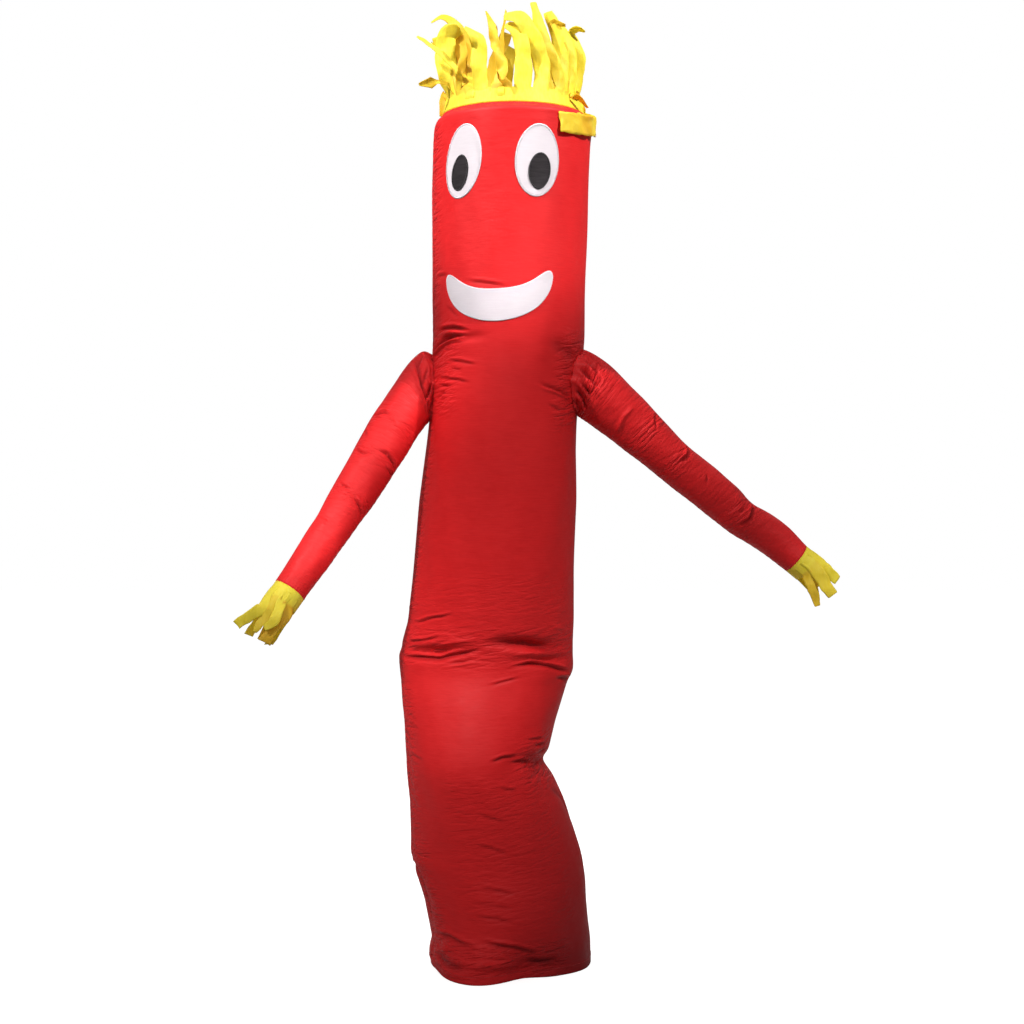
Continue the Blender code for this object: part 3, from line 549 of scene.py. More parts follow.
def waviness(azimuth, height):
    # the slow unevenness of cloth under air, as a few crossed waves that close round the tube
    turn = np.radians(azimuth)
    slow = (0.45 * np.sin(3 * turn + 5.1 * height + 0.6) + 0.35 * np.sin(5 * turn - 7.3 * height + 2.1)
            + 0.3 * np.sin(2 * turn + 13.7 * height + 4.0) + 0.25 * np.sin(8 * turn + 9.1 * height + 1.2)
            + 0.22 * np.sin(11 * turn - 17 * height + 3.3) + 0.14 * np.sin(17 * turn + 23 * height + 0.2))
    return slow * np.clip(height / 0.06, 0, 1) * np.clip((tube["top"] - height) / 0.05, 0, 1)


def tubeHeights():
    heights = [0.0]
    for low, high, step in tube["rowSteps"]:
        count = round((high - low) / step)
        heights += [low + (high - low) * index / count for index in range(1, count + 1)]
    return np.array(heights)


def tubeAzimuths():
    front, back, reach = tube["frontColumns"], tube["backColumns"], tube["frontReach"]
    turns = [-reach + 2 * reach * index / front for index in range(front)]
    turns += [reach + (360 - 2 * reach) * index / back for index in range(back)]
    return np.array(turns)


def makeTube():
    # a finely creased outside over a plainer inside, joined at the hem and at the crown
    turns = tubeAzimuths()
    azimuths, heights = np.meshgrid(turns, tubeHeights())
    outside = tubeSurface(azimuths, heights)
    insideHeights = np.concatenate([np.linspace(*rows) for rows in tube["insideRows"]])
    inTurns, inHeights = np.meshgrid(turns, insideHeights[::-1])
    fromRims = np.clip(np.minimum(inHeights, tube["top"] - inHeights) / tube["rimReach"], 0, 1)
    depth = fromRims * tube["lining"] * tube["liningSpare"]
    inside = tubeSurface(inTurns, inHeights, -tube["cloth"] - depth, fine=False)
    points = np.concatenate((outside, inside, outside[:1]))
    allTurns = np.concatenate((azimuths, inTurns, azimuths[:1]))
    allHeights = np.concatenate((heights, inHeights, heights[:1]))
    uv = np.stack((allTurns * metresPerDegree, allHeights), axis=-1)
    mesh = gridMesh("body", points, closed=True, uv=uv)
    addAttribute(mesh, "slack", "FLOAT", slackness(allTurns, allHeights))
    # painted shade: the creases' troughs are darkened, the deeper the darker
    trough = np.clip(tubeCreaseDepth(allTurns, allHeights) / tube["darkAt"], 0, 1)
    # painted shade: the foot darker towards the floor on its right side
    middle, reach, below, much = tube["paintedFootShade"]
    paintedFootShade = much * np.clip((below - allHeights) / below, 0, 1) * hump(turnBetween(middle, allTurns), reach)
    addAttribute(mesh, "paintedShade", "FLOAT", np.clip(tube["paintedCreaseShade"] * trough + paintedFootShade, 0, 1))
    bm = bmesh.new()
    bm.from_mesh(mesh)
    bmesh.ops.remove_doubles(bm, verts=bm.verts, dist=1e-6)
    bm.to_mesh(mesh)
    bm.free()
    return placed("bodyCloth", mesh, redNylon)


body = makeTube()
print("tube laid out:", len(body.data.polygons), "faces")


sleeves = {
    "left": {
        "seam": 0.006, "side": -1, "columns": 96, "step": 0.0045, "soften": 0.010,
        # x, y, z, height of the section, its depth, angle of its upright line
        "sections": [
            (-0.170, 0.000, 1.762, 0.160, 0.165, 92), (-0.232, 0.000, 1.764, 0.168, 0.170, 93),
            (-0.258, -0.002, 1.768, 0.200, 0.173, 98), (-0.279, -0.012, 1.746, 0.189, 0.165, 106),
            (-0.307, -0.030, 1.702, 0.158, 0.154, 126), (-0.332, -0.050, 1.663, 0.147, 0.148, 143),
            (-0.369, -0.080, 1.602, 0.147, 0.144, 146), (-0.420, -0.115, 1.512, 0.140, 0.138, 146),
            (-0.472, -0.155, 1.421, 0.129, 0.130, 146), (-0.528, -0.195, 1.328, 0.114, 0.122, 146),
            (-0.584, -0.238, 1.242, 0.107, 0.111, 146), (-0.639, -0.280, 1.155, 0.097, 0.099, 146)]},
    "right": {
        "seam": 0.006, "side": 1, "columns": 96, "step": 0.0045, "soften": 0.024,
        "sections": [
            (0.130, -0.030, 1.775, 0.191, 0.192, 88), (0.180, -0.030, 1.774, 0.196, 0.196, 86),
            (0.207, -0.030, 1.770, 0.194, 0.194, 82), (0.238, -0.030, 1.753, 0.187, 0.185, 70),
            (0.273, -0.030, 1.725, 0.177, 0.177, 56), (0.336, -0.030, 1.668, 0.161, 0.163, 51),
            (0.402, -0.030, 1.610, 0.145, 0.150, 51), (0.492, -0.028, 1.528, 0.127, 0.138, 51),
            (0.587, -0.025, 1.452, 0.127, 0.128, 51), (0.649, -0.020, 1.402, 0.124, 0.124, 51),
            (0.690, -0.020, 1.361, 0.109, 0.128, 51), (0.743, -0.015, 1.333, 0.115, 0.115, 51),
            (0.799, -0.010, 1.295, 0.113, 0.107, 51), (0.867, -0.005, 1.235, 0.097, 0.097, 51)]}}


# what both sleeves share: the radius that their cloth is measured at, factors for the depth,
# width and lip of a crease, how uneven the cloth is, and the puckers at the cuff and the seam
sleeveCloth = {
    "radius": 0.065, "creaseScale": (1.5, 0.8, 1.5), "gatherReach": 0.045, "waviness": 0.0014,
    "cuffPucker": 0.0010, "seamPucker": 0.0004, "seamDip": 0.0014,
    # how slack the cloth is everywhere, and from what depth and over how much more a crease darkens
    "leastSlack": 0.10, "darkFrom": 0.002, "darkOver": 0.007,
    # how far off the tube's cloth a sleeve starts, and the furthest down it that a line may
    "clear": 0.0006, "furthestStart": 0.30,
    # the armhole's cutter: length, columns, rows
    "rootReach": 0.135, "cutterColumns": 64, "cutterRows": 8}
sleeveMetresPerDegree = math.radians(sleeveCloth["radius"])


def sleeveRows(sleeve):
    # the sections again, with the distance down the sleeve in front
    rows, distance = [], 0.0
    for index, section in enumerate(sleeve["sections"]):
        if index:
            distance += math.dist(section[:3], sleeve["sections"][index - 1][:3])
        rows.append((distance,) + section)
    return rows


def sleeveSurface(sleeve, angle, distance, off=0.0, fine=True):
    # angle runs round the sleeve from its upright line, distance down it
    angle, distance = np.broadcast_arrays(np.asarray(angle, float), np.asarray(distance, float))
    rows = sleeveRows(sleeve)
    end = rows[-1][0]
    soften = np.minimum(sleeve["soften"], 0.6 * np.minimum(distance, end - distance))

    def read(index, where):
        shifts = (-1, -0.6, -0.2, 0.2, 0.6, 1)
        return sum(column(rows, where + soften * shift, index) for shift in shifts) / len(shifts)

    x, y, z, across, depth, lean = (read(index, distance) for index in range(1, 7))
    upright = np.stack((np.cos(np.radians(lean)), np.zeros_like(lean), np.sin(np.radians(lean))), axis=-1)
    ahead, behind = np.minimum(distance + 0.02, end), np.maximum(distance - 0.02, 0)
    run = np.hypot(read(1, ahead) - read(1, behind), read(3, ahead) - read(3, behind))
    side = sleeve["side"]
    along = np.stack((side * upright[..., 2], (read(2, ahead) - read(2, behind)) / run,
                      -side * upright[..., 0]), axis=-1)
    along /= np.linalg.norm(along, axis=-1, keepdims=True)
    inwards = np.cross(upright, along) * side
    inwards /= np.linalg.norm(inwards, axis=-1, keepdims=True)
    push = np.full(angle.shape, float(off))
    if fine:
        push = push - sleeveFoldDepth(sleeve, angle, distance)
    turn = np.radians(angle)
    return (np.stack((x, y, z), axis=-1) + upright * ((across / 2 + push) * np.cos(turn))[..., None]
            + inwards * ((depth / 2 + push) * np.sin(turn))[..., None])


def sleeveFoldDepth(sleeve, angle, distance):
    depth = creasesDepth(sleeve["creases"], sleeveCloth["creaseScale"], angle, distance,
                         sleeveMetresPerDegree)
    root = sleeve["rootAt"]
    gather = np.exp(-np.maximum(0, distance - root) / sleeveCloth["gatherReach"])
    turn = np.radians(angle)
    depth += gather * sleeve["gather"] * (0.5 * np.sin(9 * turn + 0.7) + 0.35 * np.sin(14 * turn + 2.2)
                                          + 0.25 * np.sin(23 * turn + 4.1))
    slow = (0.4 * np.sin(3 * turn + 19 * distance) + 0.35 * np.sin(2 * turn - 31 * distance + 1.7)
            + 0.3 * np.sin(5 * turn + 43 * distance + 0.4) + 0.2 * np.sin(7 * turn - 61 * distance + 2.5))
    fromCuff = sleeveRows(sleeve)[-1][0] - distance
    depth += sleeveCloth["waviness"] * slow * np.clip(fromCuff / 0.03, 0, 1)
    depth += sleeveCloth["cuffPucker"] * np.sin(31 * turn + 1.0) * np.exp(-fromCuff / 0.018)
    seamAway = turnBetween(sleeve["underSeam"], angle) * sleeveMetresPerDegree
    ripple = np.sin(distance * 240 + 1.5 * np.sin(distance * 37))
    depth += sleeveCloth["seamPucker"] * ripple * np.exp(-np.abs(seamAway) / 0.02)
    depth += sleeveCloth["seamDip"] * np.exp(-(seamAway / 0.003) ** 2)
    return depth


# creases: depth, half width, lip in millimetres, then angle and distance of each point
sleeves["left"].update({
    "rootAt": 0.070, "gather": 0.005, "underSeam": 175,
    "slack": [(0.11, 0.04, 0.5), (0.28, 0.03, 0.25), (0.39, 0.03, 0.25), (0.54, 0.03, 0.25)],
    "creases": [
        # gathered in at the root
        (9, 8, -7, (-5, 0.112), (-40, 0.122), (-80, 0.136), (-120, 0.146), (-165, 0.160)),
        (7, 5, 3, (-25, 0.092), (-40, 0.112), (-48, 0.128)),
        (8, 5, 4, (-60, 0.088), (-72, 0.112), (-84, 0.134)),
        (9, 6, 4, (-92, 0.090), (-104, 0.114), (-112, 0.140)),
        (9, 6, 4, (-124, 0.092), (-134, 0.120), (-150, 0.150)),
        # down the front
        (4, 6, 3, (-14, 0.289), (-45, 0.268), (-77, 0.264)),
        (3, 5, 2, (-60, 0.276), (-80, 0.280), (-99, 0.294)),
        (3, 5, 2, (-12, 0.334), (-30, 0.340), (-42, 0.352)),
        (4, 6, 3, (-22, 0.396), (-50, 0.407), (-64, 0.405), (-80, 0.388)),
        (6, 6, 4, (-76, 0.379), (-108, 0.368), (-140, 0.374), (-170, 0.392)),
        (4, 5, 3, (-120, 0.398), (-150, 0.402), (-178, 0.398)),
        (5, 6, 3, (-34, 0.521), (-66, 0.521), (-82, 0.526)),
        (6, 6, 4, (-86, 0.530), (-104, 0.538), (-136, 0.550), (-170, 0.566)),
        (3, 6, 2, (-32, 0.640), (-60, 0.640), (-82, 0.650)),
        # behind
        (5, 8, 3, (60, 0.140), (90, 0.170), (120, 0.165)),
        (4, 8, 2, (40, 0.360), (80, 0.380), (120, 0.370)),
        (4, 8, 2, (60, 0.550), (100, 0.560))]})
sleeves["right"].update({
    "rootAt": 0.080, "gather": 0.005, "underSeam": 185,
    "slack": [(0.11, 0.04, 0.5), (0.33, 0.03, 0.25), (0.46, 0.03, 0.25), (0.72, 0.05, 0.35)],
    "creases": [
        # gathered in at the root
        (6, 6, 4, (-18, 0.070), (-34, 0.098), (-46, 0.130)),
        (6, 6, 4, (-44, 0.064), (-56, 0.094), (-66, 0.136)),
        (7, 6, 4, (-66, 0.058), (-78, 0.092), (-88, 0.150)),
        (6, 6, 4, (-88, 0.056), (-98, 0.090), (-112, 0.136)),
        (7, 6, 4, (-108, 0.058), (-120, 0.090), (-140, 0.134)),
        (6, 6, 3, (-132, 0.062), (-150, 0.100)),
        # down the front
        (-3, 6, 0, (-56, 0.250), (-95, 0.244), (-138, 0.262)),
        (4, 5, 2, (-24, 0.316), (-46, 0.322), (-66, 0.346)),
        (6, 6, 4, (-15, 0.450), (-38, 0.460), (-56, 0.466), (-90, 0.457)),
        (3, 5, 2, (-60, 0.545), (-84, 0.560)),
        (7, 6, 4, (-8, 0.708), (-40, 0.720), (-79, 0.729), (-125, 0.716)),
        (3, 5, 2, (-60, 0.700), (-90, 0.694)),
        (3, 5, 2, (-130, 0.760), (-165, 0.770)),
        # behind
        (4, 8, 2, (50, 0.250), (90, 0.270), (130, 0.260)),
        (4, 8, 2, (40, 0.520), (90, 0.540)),
        (3, 8, 2, (70, 0.700), (110, 0.710))]})


def insideTube(points):
    # how far inside the tube's cloth a point lies, above zero inside
    height = np.clip(points[..., 2], 0, tube["top"])
    left, right, back = (column(tube["sections"], height, index) for index in (1, 2, 3))
    halfWide = (right - left) / 2
    halfDeep = 2 * tube["radius"] - halfWide
    x = (points[..., 0] - (left + right) / 2) / halfWide
    y = (points[..., 1] - back) / halfDeep
    azimuth = np.degrees(np.arctan2(x, -y))
    skin = tubeSurface(azimuth, height, sleeveCloth["clear"])
    return np.hypot(skin[..., 0] - (left + right) / 2, skin[..., 1] - back) - np.hypot(
        points[..., 0] - (left + right) / 2, points[..., 1] - back)


def makeSleeve(side):
    sleeve = sleeves[side]
    end = sleeveRows(sleeve)[-1][0]
    angles = np.arange(sleeve["columns"]) * 360 / sleeve["columns"]
    # each line down the sleeve starts where it comes out of the tube
    low, high = np.zeros(len(angles)), np.full(len(angles), sleeveCloth["furthestStart"])
    for _ in range(22):
        middle = (low + high) / 2
        inside = insideTube(sleeveSurface(sleeve, angles, middle)) > 0
        low, high = np.where(inside, middle, low), np.where(inside, high, middle)
    starts = (low + high) / 2
    count = round((end - starts.min()) / sleeve["step"])
    share = np.linspace(0, 1, count + 1)[:, None]
    distances = starts[None, :] + (end - starts[None, :]) * share
    angles, distances = np.broadcast_arrays(angles[None, :], distances)
    uv = np.stack((angles * sleeveMetresPerDegree, distances), axis=-1)
    mesh = gridMesh("arm" + side, sleeveSurface(sleeve, angles, distances), closed=True,
                    flip=sleeve["side"] > 0, uv=uv)
    spots = sum(much * np.exp(-((distances - middle) / wide) ** 2) for middle, wide, much in sleeve["slack"])
    addAttribute(mesh, "slack", "FLOAT", np.minimum(1, spots + sleeveCloth["leastSlack"]))
    depth = sleeveFoldDepth(sleeve, angles, distances)
    # painted shade: the sleeves' crease troughs are darkened, the deeper the darker
    trough = np.clip((depth - sleeveCloth["darkFrom"]) / sleeveCloth["darkOver"], 0, 1)
    addAttribute(mesh, "paintedShade", "FLOAT", tube["paintedCreaseShade"] * trough)
    sleeve["starts"] = starts
    return placed("arm" + side.capitalize() + "Cloth", mesh, redNylon)


def makeArmholeCutter(side):
    # what a sleeve's root cuts out of the tube
    sleeve = sleeves[side]
    columns, rows = sleeveCloth["cutterColumns"], sleeveCloth["cutterRows"]
    angles, distances = np.meshgrid(np.arange(columns) * 360 / columns,
                                    np.linspace(0.004, sleeveCloth["rootReach"], rows))
    points = sleeveSurface(sleeve, angles, distances, -sleeve["seam"], fine=False)
    mesh = gridMesh("armhole", points, closed=True, flip=sleeve["side"] > 0)
    cutter = placed("armhole_" + side, mesh, redNylon)
    bm = bmesh.new()
    bm.from_mesh(cutter.data)
    bmesh.ops.holes_fill(bm, edges=[edge for edge in bm.edges if edge.is_boundary])
    bmesh.ops.recalc_face_normals(bm, faces=bm.faces)
    bm.to_mesh(cutter.data)
    bm.free()
    return cutter


arms = {side: makeSleeve(side) for side in sleeves}
for side in sleeves:
    cutter = makeArmholeCutter(side)
    cut = body.modifiers.new("armhole", "BOOLEAN")
    cut.operation = "DIFFERENCE"
    cut.solver = "EXACT"
    cut.object = cutter
    body = evaluatedMesh(body)
    bpy.data.objects.remove(cutter)
    arms[side] = thicken(arms[side], tube["cloth"], -1)
body.data.materials.clear()
body.data.materials.append(redNylon)
print("sleeves sewn in")


hair = {
    "cloth": 0.0012, "bandTop": 2.612, "bandRadius": 0.203, "slit": 0.0045, "steps": 30, "cup": 0.10,
    "loose": 0.0032,
    "shoulderWidth": 0.060, "shoulderSteps": 60, "shoulderLoose": 0.006,
    # round the back and sides: length, lean outwards, sway sideways, twist, share of the width
    # lost at the tip, how much orange painted shade it has; none where strips are placed one by one
    "rows": [
        (0.25, 14, -6, 20, 0.1, 0.1), (0.27, -4, -12, -24, 0.2, 0.4), (0.22, 22, -10, 16, 0.1, 0),
        (0.26, 2, -6, 30, 0.2, 0.3), (0.23, 18, -8, -20, 0.1, 0), (0.21, -4, 10, 28, 0.2, 0.5),
        (0.19, 10, 4, 40, 0.3, 0.2), None, None, None, None, None, None, None, None, None, None,
        (0.19, -8, -10, 26, 0.1, 0.2), (0.20, -8, -6, -26, 0.2, 0.5), None,
        (0.21, -2, -6, -16, 0.1, 0), (0.25, 0, -10, 26, 0.2, 0.3), (0.23, 18, -8, -20, 0.1, 0),
        (0.26, -6, -4, 24, 0.2, 0.2)],
    # across the front: foot's azimuth, width, how much orange painted shade, then x, y, z, roll and
    # share of the width at each point of the ribbon's middle line
    "strips": [
        # the left side, from the one hanging down to the tall folded pair
        (-74, 0.026, 0.7, (-0.196, -0.050, 2.632, 20, 1), (-0.204, -0.062, 2.600, 10, 0.9),
         (-0.206, -0.070, 2.555, -10, 0.8)),
        (-62, 0.034, 0.35, (-0.186, -0.120, 2.642, 30, 0.4), (-0.219, -0.130, 2.648, 10, 0.35),
         (-0.238, -0.135, 2.645, -20, 1.0), (-0.272, -0.135, 2.640, -30, 0.2)),
        (-52, 0.020, 0.1, (-0.155, -0.170, 2.660, 20, 0.9), (-0.188, -0.180, 2.703, 10, 0.9),
         (-0.230, -0.180, 2.738, 30, 0.8), (-0.274, -0.180, 2.768, 50, 0.6)),
        (-61, 0.062, 0.0, (-0.188, -0.120, 2.680, 8, 1), (-0.196, -0.120, 2.740, -14, 1),
         (-0.186, -0.125, 2.788, 12, 0.9), (-0.150, -0.140, 2.800, 50, 0.6)),
        (-48, 0.044, 0.55, (-0.152, -0.120, 2.680, 20, 1), (-0.152, -0.110, 2.740, -16, 1),
         (-0.158, -0.110, 2.790, -40, 0.9)),
        (-38, 0.034, 0.45, (-0.132, -0.090, 2.700, 24, 1), (-0.138, -0.100, 2.780, 10, 1),
         (-0.168, -0.120, 2.822, 20, 0.9), (-0.205, -0.130, 2.838, 40, 0.8),
         (-0.236, -0.130, 2.822, 60, 0.4)),
        (-28, 0.046, 0.0, (-0.094, -0.205, 2.680, 6, 1), (-0.094, -0.205, 2.735, -10, 1),
         (-0.108, -0.212, 2.762, 30, 0.9), (-0.134, -0.220, 2.784, 60, 0.4)),
        (-14, 0.034, 0.5, (-0.026, -0.205, 2.665, -24, 1), (-0.036, -0.205, 2.710, 40, 1),
         (-0.050, -0.200, 2.750, -30, 0.8), (-0.054, -0.200, 2.790, 30, 0.8),
         (-0.073, -0.195, 2.834, 60, 0.3)),
        (-10, 0.020, 0.5, (-0.034, -0.120, 2.700, 10, 1), (-0.026, -0.110, 2.790, 50, 0.8),
         (-0.014, -0.110, 2.862, 74, 0.8)),
        # the middle: a broad upright one under two that arch over to the left
        (8, 0.050, 0.0, (0.034, -0.214, 2.680, 4, 1), (0.031, -0.212, 2.735, -8, 0.9),
         (0.016, -0.206, 2.778, 20, 0.9), (-0.014, -0.205, 2.796, 40, 0.7)),
        (-4, 0.024, 0.5, (-0.034, -0.236, 2.640, 20, 1), (-0.030, -0.246, 2.648, 10, 0.9),
         (-0.024, -0.252, 2.622, -20, 0.5)),
        (24, 0.050, 0.0, (0.088, -0.190, 2.680, 10, 1), (0.066, -0.200, 2.745, -6, 1),
         (0.045, -0.206, 2.788, 10, 1), (0.018, -0.210, 2.814, 20, 0.9), (-0.020, -0.210, 2.816, 30, 0.5)),
        (45, 0.036, 0.2, (0.126, -0.165, 2.692, -10, 1), (0.103, -0.165, 2.748, 20, 1),
         (0.080, -0.160, 2.815, 10, 0.9), (0.064, -0.160, 2.870, 30, 0.5)),
        (47, 0.040, 0.05, (0.150, -0.140, 2.700, 16, 1), (0.136, -0.130, 2.780, -14, 1),
         (0.108, -0.130, 2.852, 10, 0.7)),
        # the right side
        (42, 0.030, 0.4, (0.150, -0.120, 2.700, -20, 1), (0.142, -0.120, 2.780, 20, 1),
         (0.122, -0.130, 2.822, 40, 0.8), (0.158, -0.140, 2.808, 60, 0.4)),
        (50, 0.036, 0.6, (0.152, -0.136, 2.690, 20, 1), (0.146, -0.130, 2.765, -30, 0.7)),
        (57, 0.040, 0.0, (0.174, -0.120, 2.690, -10, 1), (0.172, -0.120, 2.745, 20, 1),
         (0.150, -0.120, 2.800, 30, 0.8), (0.118, -0.125, 2.838, 50, 0.4)),
        (68, 0.040, 0.0, (0.194, -0.090, 2.670, 8, 1), (0.200, -0.090, 2.712, -16, 1),
         (0.188, -0.095, 2.765, 24, 0.9), (0.176, -0.100, 2.796, 50, 0.8), (0.196, -0.110, 2.806, 70, 0.9),
         (0.216, -0.110, 2.800, 60, 0.2)),
        (72, 0.026, 0.5, (0.184, -0.150, 2.606, 50, 1), (0.206, -0.140, 2.590, 60, 0.8),
         (0.226, -0.120, 2.575, 60, 0.3))],
    # the ribbon that lies round the right shoulder: azimuth, height, off the cloth, roll, orange painted
    # shade
    "shoulder": [
        (124.0, 2.612, -0.008, 0, 0), (123.0, 2.634, -0.002, -4, 0), (119.0, 2.622, 0.006, -24, 0.2),
        (110.0, 2.584, 0.010, -60, 0.3), (97.0, 2.546, 0.005, -84, 0.2), (80.0, 2.532, 0.003, -84, 0.15),
        (64.0, 2.521, 0.0050, -88, 0.9), (52.0, 2.517, 0.0040, -92, 0.35), (30.0, 2.513, 0.0045, -90, 0.25)]}
# strips of the hands: angle of the foot round the cuff, width, how much orange painted shade, then
# how far down the hand, up across it and towards the front, roll and share of the width at each point
hands = {
    "left": {
        "cloth": 0.0012, "cuff": 0.048, "slit": 0.0045, "steps": 16, "cup": 0.08, "loose": 0.003,
        "rows": [None, None, None, (0.105, 9, 4, 14, 0.1, 0.2), (0.115, 8, 6, -12, 0.1, 0),
                 (0.105, 2, 4, 12, 0.0, 0.3), (0.115, -2, 5, -14, 0.1, 0)],
        "strips": [
            (-36, 0.036, 0.0, (0.092, 0.030, 0.050, 8, 1), (0.130, 0.044, 0.056, -16, 0.9),
             (0.178, 0.062, 0.050, 20, 0.8)),
            (-70, 0.030, 0.25, (0.090, 0.004, 0.054, -20, 1), (0.130, 0.012, 0.050, 30, 1),
             (0.165, 0.010, 0.046, -10, 0.4)),
            (-95, 0.030, 0.0, (0.080, -0.012, 0.062, 20, 1), (0.118, -0.018, 0.066, -10, 1),
             (0.142, -0.006, 0.060, 24, 0.6)),
            (-120, 0.040, 0.6, (0.080, -0.034, 0.046, -10, 1), (0.125, -0.026, 0.046, 24, 0.9),
             (0.174, -0.030, 0.040, -8, 0.9))]},
    "right": {
        "cloth": 0.0012, "cuff": 0.044, "slit": 0.0045, "steps": 16, "cup": 0.08, "loose": 0.003,
        "rows": [(0.085, 6, -4, 10, 0.2, 0), (0.080, 8, -12, -12, 0.2, 0.3), (0.080, 3, -7, 12, 0.1, 0),
                 (0.078, -1, 0, 10, 0.0, 0.2), None, None, None],
        "strips": [
            (36, 0.036, 0.0, (0.075, 0.030, 0.046, -8, 1), (0.100, 0.026, 0.050, 16, 1),
             (0.132, 0.026, 0.048, -20, 0.8)),
            (75, 0.042, 0.15, (0.080, 0.000, 0.056, 14, 1), (0.115, -0.010, 0.056, -24, 1),
             (0.150, -0.018, 0.050, 10, 0.7)),
            (110, 0.034, 0.4, (0.070, -0.034, 0.048, -20, 1), (0.105, -0.052, 0.046, 20, 0.9),
             (0.136, -0.074, 0.040, -10, 0.5))]}}


def crownMiddle():
    top = tube["sections"][-1]
    return Vector(((top[1] + top[2]) / 2, top[3], top[0]))


def hairEdge(azimuth, share=1.0):
    # a place on the hair band, from the rim that it is sewn to up to the slits' feet
    turn = math.radians(azimuth)
    rim = Vector(tubeSurface(azimuth, tube["top"], 0.0, fine=False))
    outwards = Vector((math.sin(turn), -math.cos(turn), 0))
    edge = crownMiddle() + outwards * hair["bandRadius"]
    edge.z = hair["bandTop"]
    return rim.lerp(edge, share), Vector((0, 0, 1)), outwards


def handEdge(side):
    sleeve = sleeves[side]
    x, y, z, across, depth, lean = sleeve["sections"][-1]
    before = sleeve["sections"][-2]
    turn = math.radians(lean)
    upright = Vector((math.cos(turn), 0, math.sin(turn)))
    run = math.hypot(x - before[0], z - before[2])
    along = Vector((sleeve["side"] * upright.z, (y - before[1]) / run, -sleeve["side"] * upright.x))
    along.normalize()
    inwards = (upright.cross(along) * sleeve["side"]).normalized()

    def spot(down, up, front):
        forwards = inwards * math.copysign(1, -inwards.y)
        return Vector((x, y, z)) + along * down + upright * up + forwards * front

    def place(angle, share=1.0):
        bend = math.radians(angle) * -sleeve["side"]
        outwards = upright * math.cos(bend) + inwards * math.sin(bend)
        rim = (Vector((x, y, z)) + upright * (across / 2 * math.cos(bend))
               + inwards * (depth / 2 * math.sin(bend)))
        return rim + along * hands[side]["cuff"] * share, along, outwards
    return place, spot


def ribbonPath(edgeA, edgeB, along, outwards, row, shape):
    # middle, width direction, half width, looseness and painted shade down a ribbon
    length, lean, sway, twist, taper, paintedShade = row
    steps = shape["steps"]
    side = (edgeB - edgeA).normalized()
    across = side.copy()
    width = (edgeB - edgeA).length
    middle = (edgeA + edgeB) / 2
    path = [(middle - along * 0.004, across.copy(), width / 2, 0, 0),
            (middle.copy(), across.copy(), width / 2, 0, 0)]
    for step in range(1, steps + 1):
        share = (step - 0.5) / steps
        bend, drift = math.radians(lean * share * 2), math.radians(sway * share * 2)
        way = along * math.cos(bend) + outwards * math.sin(bend) + side * math.tan(drift)
        way.normalize()
        middle = middle + way * (length / steps)
        across = across - way * across.dot(way)
        across.rotate(Matrix.Rotation(math.radians(twist / steps), 3, way))
        across.normalize()
        path.append((middle.copy(), across.copy(), width * (1 - taper * step / steps) / 2,
                     shape["loose"] * min(1, 2 * share), paintedShade))
    return path


def stripPath(edge, row, shape, spot=None):
    # a listed ribbon: starts a little inside the band, leaves its edge a little outside,
    # then bends smoothly through its points
    azimuth, width, paintedShade, *points = row
    foot, _, outwards = edge(azimuth)
    ring = (edge(azimuth + 2)[0] - edge(azimuth - 2)[0]).normalized()
    places = [edge(azimuth, 0.3)[0] - outwards * 0.0015, foot + outwards * 0.0012]
    places += [spot(*point[:3]) if spot else Vector(point[:3]) for point in points]
    rolls, shares = [None, None] + [point[3] for point in points], [1, 1] + [point[4] for point in points]
    path = []
    for index in range(len(places) - 1):
        before, here = places[max(index - 1, 0)], places[index]
        there, beyond = places[index + 1], places[min(index + 2, len(places) - 1)]
        bow = before * 2 - here * 5 + there * 4 - beyond
        swing = here * 3 - before - there * 3 + beyond
        steps = max(1, round((there - here).length / 0.008))
        for step in range(steps + (index == len(places) - 2)):
            part = step / steps
            middle = (here * 2 + (there - before) * part + bow * part ** 2 + swing * part ** 3) / 2
            way = ((there - before) + bow * 2 * part + swing * 3 * part ** 2).normalized()
            sides = []
            for roll in (rolls[index], rolls[index + 1]):
                side = ring.copy() if roll is None else Vector((0, -1, 0)).cross(way)
                side = (side - way * side.dot(way)).normalized()
                if roll is not None and side.dot(ring) < 0 and len(path) < 2:
                    side.negate()
                side.rotate(Matrix.Rotation(math.radians(roll or 0), 3, way))
                sides.append(side)
            if sides[0].dot(sides[1]) < 0 and index < 2:
                sides[1].negate()
            across = sides[0].lerp(sides[1], part).normalized()
            if path and across.dot(path[-1][1]) < 0:
                across.negate()
            half = width / 2 * (shares[index] + (shares[index + 1] - shares[index]) * part)
            loose = 0 if index == 0 else shape["loose"] * min(1, (len(path) + 1) / 10)
            path.append((middle, across, half, loose, 0 if index == 0 else paintedShade))
    return path


def shoulderPath():
    steps = hair["shoulderSteps"]
    rows = [(index,) + row for index, row in enumerate(hair["shoulder"])]
    path = []
    for step in range(steps + 1):
        where = step / steps * (len(rows) - 1)
        azimuth, height, off, roll, paintedShade = (float(column(rows, where, index, 0.45)) for index in range(1, 6))
        turn = math.radians(azimuth)
        side = Vector((math.cos(turn), math.sin(turn), 0))
        across = side * math.cos(math.radians(roll)) + Vector((0, 0, math.sin(math.radians(roll))))
        middle = Vector(tubeSurface(azimuth, min(height, tube["top"]), off, fine=False))
        middle.z = height
        path.append((middle, across, hair["shoulderWidth"] / 2,
                     hair["shoulderLoose"] * min(1, step / 8), paintedShade))
    return path


